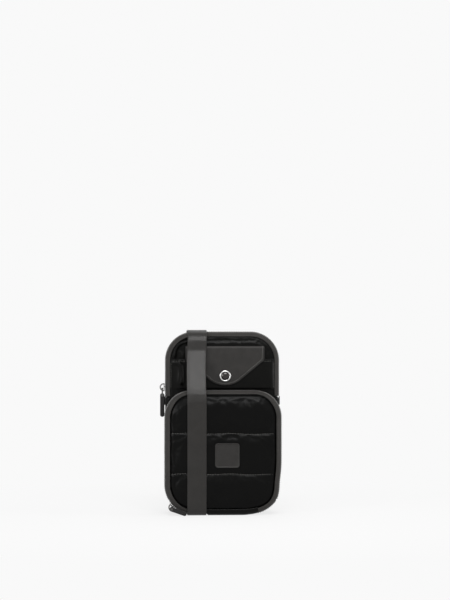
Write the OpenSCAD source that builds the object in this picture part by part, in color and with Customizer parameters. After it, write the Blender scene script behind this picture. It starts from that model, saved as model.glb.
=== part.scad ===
// Padded phone pouch with a zipped main compartment, a zipped front pocket and a webbing strap.
// Millimetres. +X right, -Y front, +Z up. The origin is the centre of the base, on the floor.

/* [Main compartment] */
// Width of the main compartment
main_w = 120; // [112:1:124]
// Height of the main compartment
main_h = 191; // [186:1:205]
// Depth of the main compartment
main_d = 26; // [25:1:32]
// Outline radius of its upper corners
main_top_r = 30; // [24:1:32]
// Outline radius of its lower corners
main_low_r = 32; // [26:1:36]
// Radius of its rounded front edge
main_edge_r = 5.5; // [4.5:0.5:6]
// Height of the zipped part, from the top down to the zip's ends
mouth_h = 68; // [65:1:73]

/* [Front pocket] */
// Width of the front pocket
pocket_w = 122; // [116:1:128]
// Height of the main compartment that shows above the front pocket
upper_h = 61; // [58:0.5:63]
// Depth of the front pocket
pocket_d = 21; // [20:1:26]
// Outline radius of its upper corners
pocket_top_r = 28; // [22:1:32]
// Outline radius of its lower corners
pocket_low_r = 32; // [26:1:36]
// Radius of its rounded front edge
pocket_edge_r = 6; // [5:0.5:6.5]
// Height of the fixed sill below its door
sill_h = 15; // [14:0.5:18]
// Distance of each end of its zip from the pocket's side, under the base
zip_break_in = 20; // [17:1:23]
// Height of the lower quilting seam
seam_low_z = 43; // [38:1:50]
// Height of the upper quilting seam
seam_high_z = 85; // [78:1:92]
// Rise of each quilted channel over its seams
crown = 1.2; // [0.8:0.1:1.4]

/* [Walls] */
// Thickness of the padded walls
wall_t = 3; // [2.6:0.1:3.4]
// Thickness of the zip tapes
tape_t = 1.2; // [0.8:0.1:1.4]
// Thickness of the lining
lining_t = 0.6; // [0.4:0.1:0.8]
// Radius of the piping round the back edge
piping_r = 1.6; // [1.2:0.1:1.8]
// Space kept between pieces that move apart
split_gap = 0.3; // [0.2:0.05:0.4]

/* [Zips] */
// Width of one row of teeth
row_w = 1.4; // [1.2:0.1:1.6]
// Space between the two rows, which the slider's post runs in
row_gap = 0.8; // [0.7:0.1:1]
// Thickness of a row of teeth
row_t = 2.1; // [1.9:0.1:2.3]
// How far the teeth stand out of the tape
row_out = 0.5; // [0.3:0.1:0.6]
// Width of the rear tape that shows beside the teeth
rear_tape_w = 3.5; // [3:0.5:4]
// Height of the tab sewn over each lower end of the main zip
end_h = 9; // [8:0.5:10]
// Thickness of that tab
end_t = 0.9; // [0.8:0.05:0.9]

/* [Sliders] */
// Length of a slider along its zip
slider_l = 8.5; // [8:0.5:10]
// Width of a slider across its zip
slider_w = 7; // [6.5:0.5:7.5]
// Thickness of a slider's wings
wing_t = 1; // [0.8:0.1:1.1]
// Space between a wing and the teeth
wing_gap = 0.3; // [0.2:0.05:0.35]
// Height of the main slider's middle over the zip's lower end
slider_up = 9.6; // [9:0.2:12]
// Outer radius of the half-round bridge on a slider
bridge_r = 4.2; // [3.9:0.1:4.5]
// Inner radius of that bridge
bridge_hole_r = 2.9; // [2.8:0.1:3]
// Thickness of the bridge
bridge_t = 2.2; // [1.8:0.1:2.4]
// Radius of the pin that hangs in the bridge
pin_r = 0.7; // [0.6:0.05:0.8]
// Distance of that pin from the outer wing
pin_out = 1.4; // [1.3:0.1:1.6]

/* [Pullers] */
// Width of a pull tab
tab_w = 4.6; // [4.2:0.1:4.8]
// Thickness of a pull tab
tab_t = 1.6; // [1.4:0.1:1.8]
// Length of the main pull tab
main_tab_l = 25; // [20:1:30]
// Length of the pocket pull tab
pocket_tab_l = 18.8; // [14:0.2:19]
// Distance from the main puller's pin to the eyelet of its tab
link_l = 7; // [7:0.1:8]
// Thickness of the arms and end discs of a puller's link
arm_t = 0.4; // [0.3:0.1:0.6]

/* [Flap] */
// Width of the flap
flap_w = 83; // [76:1:88]
// Distance of the flap's lower end above the front pocket
flap_up = 4.6; // [3:0.1:6]
// Height of its straight sides
flap_side_h = 12; // [10:0.2:16]
// Radius of its rounded lower end
flap_tip_r = 26; // [22:1:30]
// Radius of its upper corners
flap_r = 6; // [3:0.5:6.2]
// Thickness of its leather
flap_t = 1.2; // [1:0.1:1.6]
// Distance of its middle to the right of the bag's middle
flap_x = 2.5; // [0:0.5:4]
// Distance of its top edge below the bag's top
flap_drop = 14.8; // [12:0.2:16]
// Height of the strip that sews it to the panel
anchor_h = 5; // [4:0.5:6]
// Thickness of that strip
anchor_t = 2.4; // [2.4:0.1:2.8]

/* [Snap] */
// Radius of the snap's cap
cap_r = 6; // [5:0.25:6.5]
// Thickness of the cap
cap_t = 0.8; // [0.6:0.1:1]
// Rise of the cap's ring and dome
cap_rise = 0.6; // [0.4:0.1:0.8]
// Outer radius of the socket
socket_r = 4.2; // [3.6:0.1:4.6]
// Radius of the stud
stud_r = 1.7; // [1.5:0.1:1.9]
// Height of the snap over the flap's lower end
snap_up = 10; // [8:0.5:12]
// Distance of its middle to the right of the bag's middle
snap_x = 2.7; // [0:0.1:4]

/* [Slip pocket] */
// Distance of its open top edge below the bag's top
slip_drop = 28; // [26:1:33]
// Thickness of its front
slip_t = 1.2; // [1:0.1:1.2]
// Space behind its front
slip_gap = 1; // [0.8:0.1:1]
// Width of its sewn sides and bottom
slip_sew = 4; // [3:0.5:6]

/* [Badge] */
// Side of the square leather badge
badge_w = 25.5; // [22:0.5:28]
// Height of its middle
badge_z = 62.5; // [60:0.5:65]
// Distance of its middle to the right of the bag's middle
badge_x = 4; // [0:0.5:6]
// Thickness of the badge
badge_t = 1.2; // [1:0.1:1.6]
// Width and height of its raised rim
badge_rim = 0.8; // [0.6:0.1:1]

/* [Strap and rings] */
// Width of the webbing strap
strap_w = 20; // [20:1:20]
// Thickness of the webbing
strap_t = 1.3; // [1.1:0.1:1.4]
// Distance of the strap from the bag's middle, to either side
strap_x = 27.6; // [27.6:0.1:27.6]
// Depth of the groove in the base that the strap passes through
groove_h = 1.75; // [1.7:0.05:2]
// Width of that groove
groove_w = 22; // [22:0.5:24]
// Radius of a ring's wire
wire_r = 1.2; // [1.1:0.05:1.25]
// Inner width of a ring
ring_w = 22; // [22:0.5:24]
// Distance between the middles of a ring's two long bars
ring_h = 12; // [12:0.5:12]
// Height over the zip's lower end of the bars that the ring tabs hold
ring_up = 17; // [17:1:17]
// Distance of those bars behind the back panel
ring_out = 3.7; // [3.7:0.1:3.7]
// Running clearance of a bar in its tab
bar_gap = 0.1; // [0.05:0.01:0.1]
// Height of the sewn part of a ring tab
ring_tab_h = 16; // [12:1:20]
// Radius of the middle bar of the strap's adjuster
adjuster_bar_r = 0.5; // [0.4:0.05:0.6]

/* [Hidden] */
$fn = 64;

// Overrun of cuts and of the slabs that divide a band
reach = 400;
// Depth places, from the back to the front
back_y = (main_d + pocket_d) / 2;
main_front_y = back_y - main_d;
pocket_front_y = -back_y;
panel_in_y = main_front_y + wall_t;
back_in_y = back_y - wall_t;

// The same places forwards from the origin, for the sections of the bands
main_f = -main_front_y;
pocket_f = -pocket_front_y;
main_zip_f = main_f - main_edge_r;
pocket_zip_f = pocket_f - pocket_edge_r;
zip_f = 2 * row_w + row_gap;
gusset_end_f = piping_r * 2 - back_y;
row_in = row_t - row_out;
wing_in_r = row_in + wing_gap;

// Heights of the zip's ends, the pocket, the flap and what lines up with them
zip_end_z = main_h - mouth_h;
pocket_h = main_h - upper_h;
slip_top_z = main_h - slip_drop;
slider_z = zip_end_z + slider_up;
ring_z = zip_end_z + ring_up;
zip_break_x = pocket_w / 2 - zip_break_in;
flap_top_z = main_h - flap_drop;
flap_low_z = pocket_h + flap_up;
snap_z = flap_low_z + snap_up;

// Layers of the flap, and the places of the sliders' wings and pins
flap_lining_y = main_front_y - anchor_t - split_gap / 3;
flap_back_y = flap_lining_y - lining_t;
flap_front_y = flap_back_y - flap_t;
wing_x = main_w / 2 + row_out + wing_gap;
pin_x = wing_x + wing_t + pin_out;
pin_down = sqrt(pow(bridge_hole_r - pin_r - bar_gap, 2) - pin_out * pin_out);
pin_radius = pocket_low_r + row_out + wing_gap + wing_t + pin_out;
row_mid_f = row_w + row_gap / 2;
slider_turn = asin(slider_l / (2 * pocket_low_r));
post_t = row_gap / 2;
tab_y = pocket_front_y - crown - split_gap - tab_t / 2;

// Colours
black = [0.09, 0.09, 0.085];
matte = [0.22, 0.21, 0.2];
leather = [0.2, 0.19, 0.185];
lining_c = [0.14, 0.14, 0.14];
metal = [0.62, 0.62, 0.61];
dark_metal = [0.3, 0.3, 0.3];

// Route of the strap's middle, each point [x, y, z], from its sewn end behind the left ring
route = [
    [-27.6, 24.5, 176], [-27.6, 24.5, 168], [-27.6, 24.6, 158], [-27.6, 24.6, 152],
    [-27.6, 25.3, 150.4], [-27.6, 26.9, 149.7], [-27.6, 28.5, 150.4], [-27.6, 29.2, 152],
    [-27.6, 28.7, 157], [-27.6, 26.7, 164], [-27.6, 26.2, 172], [-27.6, 26.2, 182],
    [-27.6, 25.8, 188], [-27.6, 24.4, 191.2], [-27.6, 21.6, 192.4], [-27.6, 12, 192.4],
    [-27.6, 3, 192.4], [-27.6, -0.6, 191.5], [-27.6, -3.4, 189.6], [-27.6, -5.9, 186.4],
    [-27.6, -7.6, 182.4], [-27.6, -8.3, 178], [-27.6, -9.2, 171], [-27.6, -15.4, 154],
    [-27.6, -21.2, 140], [-27.6, -24.4, 132], [-27.6, -25.6, 126], [-27.6, -25.8, 118],
    [-27.6, -25.8, 90], [-27.6, -25.8, 60], [-27.6, -25.8, 30], [-27.6, -25.8, 12],
    [-27.6, -25.6, 6], [-27.6, -24.4, 2.8], [-27.6, -22.6, 1.2], [-27.6, -20.4, 0.8],
    [-27.6, -10, 0.8], [-27.6, 5, 0.8], [-27.6, 20, 0.8], [-27.6, 27, 0.8],
    [-24.1, 60, 0.8], [-20.6, 94, 0.8], [-17.2, 126, 0.8], [-17.2, 126.7, 1.1],
    [-17.2, 127, 1.7], [-17.2, 126.7, 2.3], [-17.2, 126, 2.6], [-13.6, 94, 2.6],
    [-9.8, 60, 2.6], [-6.5, 30, 2.6], [-6.5, 29.3, 2.3], [-6.5, 29, 1.7],
    [-6.5, 29.3, 1.1], [-6.5, 30, 0.8], [-3.3, 60, 0.8], [0.2, 94, 0.8],
    [3.6, 126, 0.8], [3.6, 126.7, 1.1], [3.6, 127, 1.7], [3.6, 126.7, 2.3],
    [3.6, 126, 2.6], [7.2, 94, 2.6], [11, 60, 2.6], [14.3, 30, 2.6],
    [14.3, 29.3, 2.3], [14.3, 29, 1.7], [14.3, 29.3, 1.1], [14.3, 30, 0.8],
    [17.5, 60, 0.8], [21, 94, 0.8], [24.4, 126, 0.8], [24.4, 126.7, 1.1],
    [24.4, 127, 1.7], [24.4, 126.7, 2.3], [24.4, 126, 2.6], [28, 94, 2.6],
    [31.8, 60, 2.6], [34.8, 33, 2.6], [34.9, 28.8, 4], [34.7, 26.3, 7.8],
    [34.2, 25, 14], [31.4, 24.9, 34], [28.6, 24.9, 54], [27.6, 24.9, 66],
    [27.6, 24.9, 110], [27.6, 24.9, 122], [27.6, 24.9, 128], [27.6, 25.6, 129.6],
    [27.6, 27.2, 130.3], [27.6, 28.8, 129.6], [27.6, 29.5, 128], [27.6, 29.2, 122],
    [27.6, 28, 110], [27.6, 27.6, 90], [27.6, 27.6, 73]];
// First and last route point of each length of the strap
left_part = [0, 16];
front_part = [16, 36];
under_part = [36, 39];
hank_part = [39, 77];
right_part = [77, 88];
return_part = [88, 94];
// Place of the adjuster's middle bar, between the strap's two layers
adjuster_z = 71;
adjuster_y = 26.25;

// A piece and its mirror image
module both_sides() {
    children();
    mirror([1, 0, 0]) children();
}

// Flat outline of a compartment, drawn in so far from its edge
module outline(w, h, top_r, low_r, inset = 0) {
    x = w / 2 - inset;
    x_top = w / 2 - top_r;
    x_low = w / 2 - low_r;
    polygon([[-x_low, inset], [x_low, inset], [x, low_r], [x, h - top_r],
        [x_top, h - inset], [-x_top, h - inset], [-x, h - top_r], [-x, low_r]]);
    for (side = [-1, 1]) {
        translate([side * x_top, h - top_r]) circle(top_r - inset);
        translate([side * x_low, low_r]) circle(low_r - inset);
    }
}

module main_outline(inset) {
    outline(main_w, main_h, main_top_r, main_low_r, inset);
}

module pocket_outline(inset) {
    outline(pocket_w, pocket_h, pocket_top_r, pocket_low_r, inset);
}

// A flat outline given its thickness between two depths
module sheet(front_y, rear_y) {
    translate([0, rear_y, 0]) rotate([90, 0, 0]) linear_extrude(rear_y - front_y) children();
}

// Everything above or below a height
module above(z) {
    translate([-reach / 2, -reach / 2, z]) cube(reach);
}

module below(z) {
    translate([-reach / 2, -reach / 2, z - reach]) cube(reach);
}

// The sewn bottom strip between the two ends of the front zip
module break_strip() {
    translate([-zip_break_x, -reach / 2, -reach / 2]) cube([2 * zip_break_x, reach, reach / 2 + pocket_low_r / 2]);
}

// One corner of a band round the centre [x, z], through a quarter turn from an angle
module band_corner(x, z, r, from) {
    translate([x, 0, z]) rotate([90, 0, 0]) rotate([0, 0, from])
        rotate_extrude(angle = 90) translate([r, 0]) children();
}

// A closed band along an outline. Its section is the child: x outwards from the outline, y forwards.
module band(w, h, top_r, low_r) {
    both_sides() {
        translate([w / 2, 0, low_r]) linear_extrude(h - top_r - low_r) mirror([0, 1]) children();
        band_corner(w / 2 - top_r, h - top_r, top_r, 0) children();
        band_corner(w / 2 - low_r, low_r, low_r, -90) children();
    }
    translate([w / 2 - top_r, 0, h]) rotate([0, -90, 0])
        linear_extrude(w - 2 * top_r) mirror([0, 1]) children();
    translate([low_r - w / 2, 0, 0]) rotate([0, 90, 0])
        linear_extrude(w - 2 * low_r) mirror([0, 1]) children();
}

module main_band() {
    band(main_w, main_h, main_top_r, main_low_r) children();
}

module pocket_band() {
    band(pocket_w, pocket_h, pocket_top_r, pocket_low_r) children();
}

// Section of a rounded front edge: a quarter of a tube from the front face round to the side
module edge_section(r, t, front_f) {
    translate([-r, front_f - r]) intersection() {
        difference() {
            circle(r);
            circle(r - t);
        }
        square(r);
    }
}

// Section of a flat wall that lies inside the outline, between two depths
module wall_section(t, rear_f, front_f) {
    translate([-t, rear_f]) square([t, front_f - rear_f]);
}

// Section of one row of teeth, from its rear side forwards
module row_section(rear_f) {
    translate([-row_in, rear_f]) square([row_t, row_w]);
}

// The groove in the base that the strap passes through
module strap_groove() {
    translate([-strap_x - groove_w / 2, -reach / 2, -reach / 2]) cube([groove_w, reach, reach / 2 + groove_h]);
}

// A convex outline with round corners of one radius, round a list of centres in anticlockwise order
module round_plate(centres, r) {
    n = len(centres);
    polygon([for (i = [0 : n - 1], end = [0, 1])
        let (a = centres[i], b = centres[(i + 1) % n], d = (b - a) / norm(b - a))
        (end == 0 ? a : b) + r * [d[1], -d[0]]]);
    for (c = centres) translate(c) circle(r);
}

// A flat slip pocket, open at the top, of an outer plate sewn on at its sides and bottom
module slip_pocket(front_y, z_low, z_top, plate_t, gap) {
    rear_y = front_y + plate_t + gap;
    difference() {
        intersection() {
            sheet(front_y, rear_y) main_outline(main_edge_r);
            above(z_low);
            below(z_top);
        }
        sheet(front_y + plate_t, rear_y + reach) intersection() {
            main_outline(main_edge_r + slip_sew);
            translate([-reach / 2, z_low + slip_sew]) square(reach);
        }
    }
}

// Main compartment, fixed front half
module main_front_panel() {
    color(black) sheet(main_front_y, panel_in_y) main_outline(main_edge_r);
}

module main_tape_front() {
    color(matte) intersection() {
        main_band() edge_section(main_edge_r, tape_t, main_f);
        above(zip_end_z);
    }
}

module main_teeth_front() {
    color(dark_metal) intersection() {
        main_band() row_section(main_zip_f - row_w);
        above(zip_end_z);
    }
}

module main_gusset_lower() {
    color(black) difference() {
        union() {
            intersection() {
                main_band() {
                    edge_section(main_edge_r, wall_t, main_f);
                    wall_section(wall_t, gusset_end_f, main_zip_f);
                }
                above(main_low_r);
                below(zip_end_z);
            }
            intersection() {
                main_band() {
                    wall_section(main_edge_r, main_f - wall_t, main_f);
                    wall_section(wall_t, gusset_end_f, main_f - wall_t);
                }
                below(main_low_r);
            }
        }
        strap_groove();
    }
}

module zip_end() {
    translate([main_w / 2, -main_zip_f, zip_end_z - end_h]) cube([end_t, zip_f, end_h]);
}

module zip_end_left() {
    color(black) mirror([1, 0, 0]) zip_end();
}

module zip_end_right() {
    color(black) zip_end();
}

module back_panel() {
    sheet(back_in_y, back_y) main_outline(2 * piping_r);
}

module back_piping() {
    main_band() translate([-piping_r, piping_r - back_y]) circle(piping_r);
}

module back_panel_lower() {
    color(black) difference() {
        intersection() {
            back_panel();
            below(zip_end_z - split_gap / 2);
        }
        strap_groove();
    }
}

module back_piping_lower() {
    color(matte) difference() {
        intersection() {
            back_piping();
            below(zip_end_z - split_gap / 2);
        }
        strap_groove();
    }
}

module back_lining() {
    sheet(back_in_y - lining_t, back_in_y) main_outline(wall_t + split_gap);
}

module lining_front() {
    color(lining_c) sheet(panel_in_y, panel_in_y + lining_t) main_outline(main_edge_r);
}

module lining_back_lower() {
    color(lining_c) intersection() {
        back_lining();
        below(zip_end_z - split_gap / 2);
    }
}

module inner_slip_pocket() {
    inner_top_z = zip_end_z - wall_t;
    front_y = panel_in_y + lining_t;
    color(lining_c) translate([0, 2 * front_y + slip_t + slip_gap, 0]) mirror([0, 1, 0])
        slip_pocket(front_y, main_low_r / 2, inner_top_z, slip_t, slip_gap);
}

module slip_pocket_panel() {
    color(black) difference() {
        slip_pocket(main_front_y - slip_t - slip_gap, pocket_h + row_out + split_gap, slip_top_z,
            slip_t, slip_gap);
        stud_hole(stud_r + bar_gap / 2);
    }
}

module stud_hole(r) {
    translate([snap_x, reach / 2, snap_z]) rotate([90, 0, 0]) cylinder(h = reach, r = r);
}

// Leather flap and its snap. Straight edges run tangent from the round lower end to the upper corners.
module flap_shape() {
    corner = [flap_w / 2 - flap_r, flap_top_z - flap_side_h];
    tip = [0, flap_low_z + flap_tip_r];
    between = corner - tip;
    turn = atan2(between[1], between[0]) - acos((flap_tip_r - flap_r) / norm(between));
    out = [cos(turn), sin(turn)];
    edge = [tip + flap_tip_r * out, corner + flap_r * out,
        corner + [flap_r, 0], [flap_w / 2, flap_top_z]];
    translate([flap_x, 0]) intersection() {
        union() {
            polygon([for (p = edge) p, for (i = [len(edge) - 1 : -1 : 0]) [-edge[i][0], edge[i][1]]]);
            translate(tip) circle(flap_tip_r);
            for (side = [-1, 1]) translate([side * corner[0], corner[1]]) circle(flap_r);
        }
        translate([-reach / 2, flap_top_z - reach]) square(reach);
    }
}

module flap_anchor() {
    anchor_top_z = flap_top_z - split_gap;
    color(leather) translate([flap_x - flap_w / 2, main_front_y - anchor_t, anchor_top_z - anchor_h])
        cube([flap_w, anchor_t, anchor_h]);
}

module flap() {
    color(leather) difference() {
        sheet(flap_front_y, flap_back_y) flap_shape();
        stud_hole(socket_r);
    }
}

module flap_lining() {
    color(lining_c) difference() {
        sheet(flap_back_y, flap_lining_y) flap_shape();
        stud_hole(socket_r);
    }
}

module snap_stud() {
    head_r = 2 * stud_r;
    slot_y = main_front_y - slip_gap;
    color(metal) translate([snap_x, slot_y, snap_z]) rotate([90, 0, 0]) {
        translate([0, 0, -slip_gap / 2]) cylinder(h = slip_gap / 2, r = head_r);
        cylinder(h = slot_y - flap_back_y, r = stud_r);
    }
}

module snap_socket() {
    color(metal) translate([snap_x, flap_lining_y, snap_z]) rotate([90, 0, 0]) difference() {
        cylinder(h = flap_lining_y - flap_front_y, r = socket_r);
        translate([0, 0, -flap_t]) cylinder(h = flap_t + lining_t + flap_t / 2, r = stud_r + split_gap);
    }
}

// Cap with a rounded ring round a low dome
module snap_cap() {
    bead_r = (cap_r - socket_r) / 2;
    dome_r = socket_r - bead_r / 2;
    sphere_r = (dome_r * dome_r + cap_rise * cap_rise) / (2 * cap_rise);
    color(metal) translate([snap_x, flap_front_y, snap_z]) rotate([90, 0, 0]) {
        cylinder(h = cap_t, r = cap_r);
        translate([0, 0, cap_t]) {
            rotate_extrude() translate([cap_r - bead_r, 0]) intersection() {
                circle(min(bead_r, cap_rise));
                translate([-cap_r, 0]) square(2 * cap_r);
            }
            intersection() {
                translate([0, 0, cap_rise - sphere_r]) sphere(sphere_r, $fn = 360);
                cylinder(h = cap_r, r = dome_r);
            }
        }
    }
}

// Front pocket, fixed rear half
module pocket_gusset() {
    color(black) difference() {
        pocket_band() wall_section(wall_t, main_f, pocket_zip_f - zip_f - rear_tape_w);
        strap_groove();
    }
}

module pocket_tape_rear() {
    rear_f = pocket_zip_f - zip_f - rear_tape_w;
    color(matte) difference() {
        pocket_band() wall_section(tape_t, rear_f, pocket_zip_f - zip_f);
        break_strip();
    }
}

module pocket_teeth_rear() {
    color(dark_metal) difference() {
        pocket_band() row_section(pocket_zip_f - zip_f);
        break_strip();
    }
}

module pocket_row_front() {
    difference() {
        pocket_band() row_section(pocket_zip_f - row_w);
        break_strip();
    }
}

module pocket_teeth_low() {
    color(dark_metal) intersection() {
        pocket_row_front();
        below(sill_h - split_gap / 2);
    }
}

module pocket_sill() {
    rear_f = pocket_zip_f - zip_f - rear_tape_w;
    color(black) difference() {
        intersection() {
            union() {
                pocket_band() edge_section(pocket_edge_r, tape_t, pocket_f);
                sheet(pocket_front_y, pocket_front_y + wall_t) pocket_outline(pocket_edge_r);
                intersection() {
                    pocket_band() wall_section(wall_t, rear_f, pocket_zip_f);
                    break_strip();
                }
            }
            below(sill_h - split_gap / 2);
        }
        strap_groove();
    }
}

module pocket_lining_rear() {
    color(lining_c) difference() {
        sheet(main_front_y - lining_t, main_front_y) pocket_outline(wall_t + split_gap);
        below(wall_t + split_gap);
    }
}

// Upper back, which swings back when the main compartment opens
module back_panel_upper() {
    color(black) intersection() {
        back_panel();
        above(zip_end_z + split_gap / 2);
    }
}

module main_gusset_rear() {
    color(black) intersection() {
        main_band() wall_section(wall_t, gusset_end_f, main_zip_f - zip_f - rear_tape_w);
        above(zip_end_z + split_gap / 2);
    }
}

module main_tape_rear() {
    color(matte) intersection() {
        main_band() wall_section(tape_t, main_zip_f - zip_f - rear_tape_w, main_zip_f - zip_f);
        above(zip_end_z + split_gap / 2);
    }
}

module main_teeth_rear() {
    color(dark_metal) intersection() {
        main_band() row_section(main_zip_f - zip_f);
        above(zip_end_z + split_gap / 2);
    }
}

module back_piping_upper() {
    color(matte) intersection() {
        back_piping();
        above(zip_end_z + split_gap / 2);
    }
}

module lining_back_upper() {
    color(lining_c) intersection() {
        back_lining();
        above(zip_end_z + split_gap / 2);
    }
}

// A webbing tab sewn to the back, with a sleeve round one bar of its ring
module ring_tab() {
    sleeve_r = 2 * wire_r;
    tab_y = back_y + ring_out;
    color(matte) difference() {
        union() {
            translate([-strap_w / 2, back_y, ring_z]) cube([strap_w, tape_t + lining_t, ring_tab_h]);
            translate([-strap_w / 2, back_y, ring_z]) cube([strap_w, ring_out, sleeve_r]);
            translate([-strap_w / 2, tab_y, ring_z]) rotate([0, 90, 0]) cylinder(h = strap_w, r = sleeve_r);
        }
        translate([-reach / 2, tab_y, ring_z]) rotate([0, 90, 0]) cylinder(h = reach, r = wire_r + bar_gap);
    }
}

module ring_tab_left() {
    translate([-strap_x, 0, 2 * ring_z]) mirror([0, 0, 1]) ring_tab();
}

module ring_tab_right() {
    translate([strap_x, 0, 0]) ring_tab();
}

// A ring of bent wire, its first bar on the X axis and its second one above
module ring() {
    x = ring_w / 2 + wire_r;
    color(metal) {
        for (z = [0, ring_h]) translate([-x, 0, z]) rotate([0, 90, 0]) cylinder(h = 2 * x, r = wire_r);
        for (side = [-x, x]) translate([side, 0, 0]) {
            cylinder(h = ring_h, r = wire_r);
            sphere(wire_r);
            translate([0, 0, ring_h]) sphere(wire_r);
        }
    }
}

module ring_left() {
    lean = asin(split_gap / ring_h);
    translate([-strap_x, back_y + ring_out, ring_z]) rotate([lean, 0, 0]) ring();
}

module ring_right() {
    translate([strap_x, back_y + ring_out, ring_z]) mirror([0, 0, 1]) ring();
}

// Front pocket door: quilted panel with three crowned channels
module quilt_channel(z_low, z_top) {
    half = (z_top - z_low) / 2;
    r = (crown * crown + half * half) / (2 * crown);
    intersection() {
        translate([-reach / 2, pocket_front_y - crown + r, z_low + half]) rotate([0, 90, 0])
            cylinder(h = reach, r = r, $fn = 720);
        translate([-reach / 2, pocket_front_y - crown, z_low]) cube([reach, crown + wall_t / 2, 2 * half]);
    }
}

module pocket_door_panel() {
    low_z = sill_h + split_gap / 2;
    top_z = pocket_h - pocket_edge_r;
    color(black) intersection() {
        sheet(pocket_front_y - crown, pocket_front_y + wall_t) pocket_outline(pocket_edge_r);
        union() {
            translate([-reach / 2, pocket_front_y, low_z]) cube([reach, wall_t, top_z]);
            quilt_channel(low_z, seam_low_z);
            quilt_channel(seam_low_z, seam_high_z);
            quilt_channel(seam_high_z, top_z);
        }
    }
}

module pocket_tape_front() {
    color(matte) intersection() {
        pocket_band() edge_section(pocket_edge_r, tape_t, pocket_f);
        above(sill_h + split_gap / 2);
    }
}

module pocket_teeth_front() {
    color(dark_metal) intersection() {
        pocket_row_front();
        above(sill_h + split_gap / 2);
    }
}

module pocket_lining_front() {
    lining_y = pocket_front_y + wall_t;
    color(lining_c) intersection() {
        sheet(lining_y, lining_y + lining_t) pocket_outline(pocket_edge_r);
        above(sill_h + split_gap);
    }
}

module badge_square(w) {
    r = wall_t;
    x = w / 2 - r;
    translate([badge_x, badge_z]) round_plate([[-x, -x], [x, -x], [x, x], [-x, x]], r);
}

module badge() {
    rear_y = pocket_front_y - crown;
    front_y = rear_y - badge_t;
    color(leather) difference() {
        sheet(front_y - badge_rim / 2, rear_y) badge_square(badge_w);
        sheet(front_y - badge_rim, front_y) badge_square(badge_w - 2 * badge_rim);
    }
}

// Half-round bridge of a slider, standing on the plane x = 0, its hole along Y
module bridge() {
    foot = wing_t / 2;
    translate([0, bridge_t / 2, 0]) rotate([90, 0, 0]) linear_extrude(bridge_t) difference() {
        union() {
            intersection() {
                circle(bridge_r);
                translate([0, -bridge_r]) square(2 * bridge_r);
            }
            translate([-foot, -bridge_r]) square([foot, 2 * bridge_r]);
        }
        circle(bridge_hole_r);
        translate([-wing_t, -bridge_hole_r]) square([wing_t, 2 * bridge_hole_r]);
    }
}

// Zip slider on the straight left side: two wings, the post between the rows, and the bridge
module main_slider() {
    mid_y = row_mid_f - main_zip_f;
    wing_in_x = main_w / 2 - wing_in_r;
    color(metal) translate([0, mid_y, slider_z]) mirror([1, 0, 0]) {
        translate([wing_x, -slider_w / 2, -slider_l / 2]) cube([wing_t, slider_w, slider_l]);
        translate([wing_in_x - wing_t, -slider_w / 2, -slider_l / 2]) cube([wing_t, slider_w, slider_l]);
        translate([wing_in_x - wing_t, -post_t / 2, 0]) cube([wing_x - wing_in_x + 2 * wing_t, post_t, wing_t]);
        translate([wing_x + wing_t, 0, 0]) bridge();
    }
}

// Arc of a wing or post of the pocket slider, between two radii, so many degrees to each side
module slider_arc(r_in, r_out, w, turn) {
    rotate([0, 0, -turn]) rotate_extrude(angle = 2 * turn)
        translate([r_in, -w / 2]) square([r_out - r_in, w]);
}

// Zip slider on the lower left corner, its wings bent to the corner's radius
module pocket_slider() {
    wing_r = pocket_low_r + row_out + wing_gap;
    in_r = pocket_low_r - wing_in_r;
    color(metal) translate([pocket_low_r - pocket_w / 2, row_mid_f - pocket_zip_f, pocket_low_r])
        rotate([0, 135, 0]) rotate([90, 0, 0]) {
            slider_arc(wing_r, wing_r + wing_t, slider_w, slider_turn);
            slider_arc(in_r - wing_t, in_r, slider_w, slider_turn);
            slider_arc(in_r - wing_t, wing_r + wing_t, post_t, slider_turn / 8);
            translate([wing_r + wing_t, 0, 0]) rotate([-90, 0, 0]) bridge();
        }
}

// Pull tab, hanging from the eyelet at its upper end, which is round the Y axis
module pull_tab(l) {
    r = tab_w / 2;
    color(leather) translate([0, tab_t / 2, 0]) rotate([90, 0, 0]) linear_extrude(tab_t)
        difference() {
            union() {
                circle(r);
                translate([-r, -l + 2 * r]) square([2 * r, l - 2 * r]);
                translate([0, -l + 2 * r]) circle(r);
            }
            circle(pin_r + bar_gap / 2);
        }
}

module at_main_pin() {
    translate([-pin_x, row_mid_f - main_zip_f, slider_z - pin_down]) children();
}

// Link of the main puller: two arms from the pin in the bridge down to the eyelet of the tab
module main_puller_link() {
    half = bridge_t / 2 + split_gap;
    outer = half + arm_t;
    color(metal) at_main_pin() rotate([90, 0, 0]) {
        translate([0, 0, -outer]) cylinder(h = 2 * outer, r = pin_r);
        translate([0, -link_l, -outer]) cylinder(h = 2 * outer, r = pin_r);
        for (z = [-outer, half]) {
            translate([-pin_r, -link_l, z]) cube([2 * pin_r, link_l, arm_t]);
            translate([0, 0, z]) cylinder(h = arm_t, r = 1.5 * pin_r);
            translate([0, -link_l, z]) cylinder(h = arm_t, r = 2 * pin_r);
        }
    }
}

module main_pull_tab() {
    at_main_pin() translate([0, 0, -link_l]) pull_tab(main_tab_l);
}

// The pocket's puller has fallen forwards: its tab stands on edge on the floor before the sill
module at_pocket_pin(y) {
    drop = pin_radius * sin(45);
    pin_z = pocket_low_r - drop;
    fall = asin((pin_z - tab_w / 2 - split_gap / 2) / (pocket_tab_l - tab_w));
    translate([pocket_low_r - pocket_w / 2 - drop, y, pin_z]) rotate([0, fall - 90, 0]) children();
}

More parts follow.
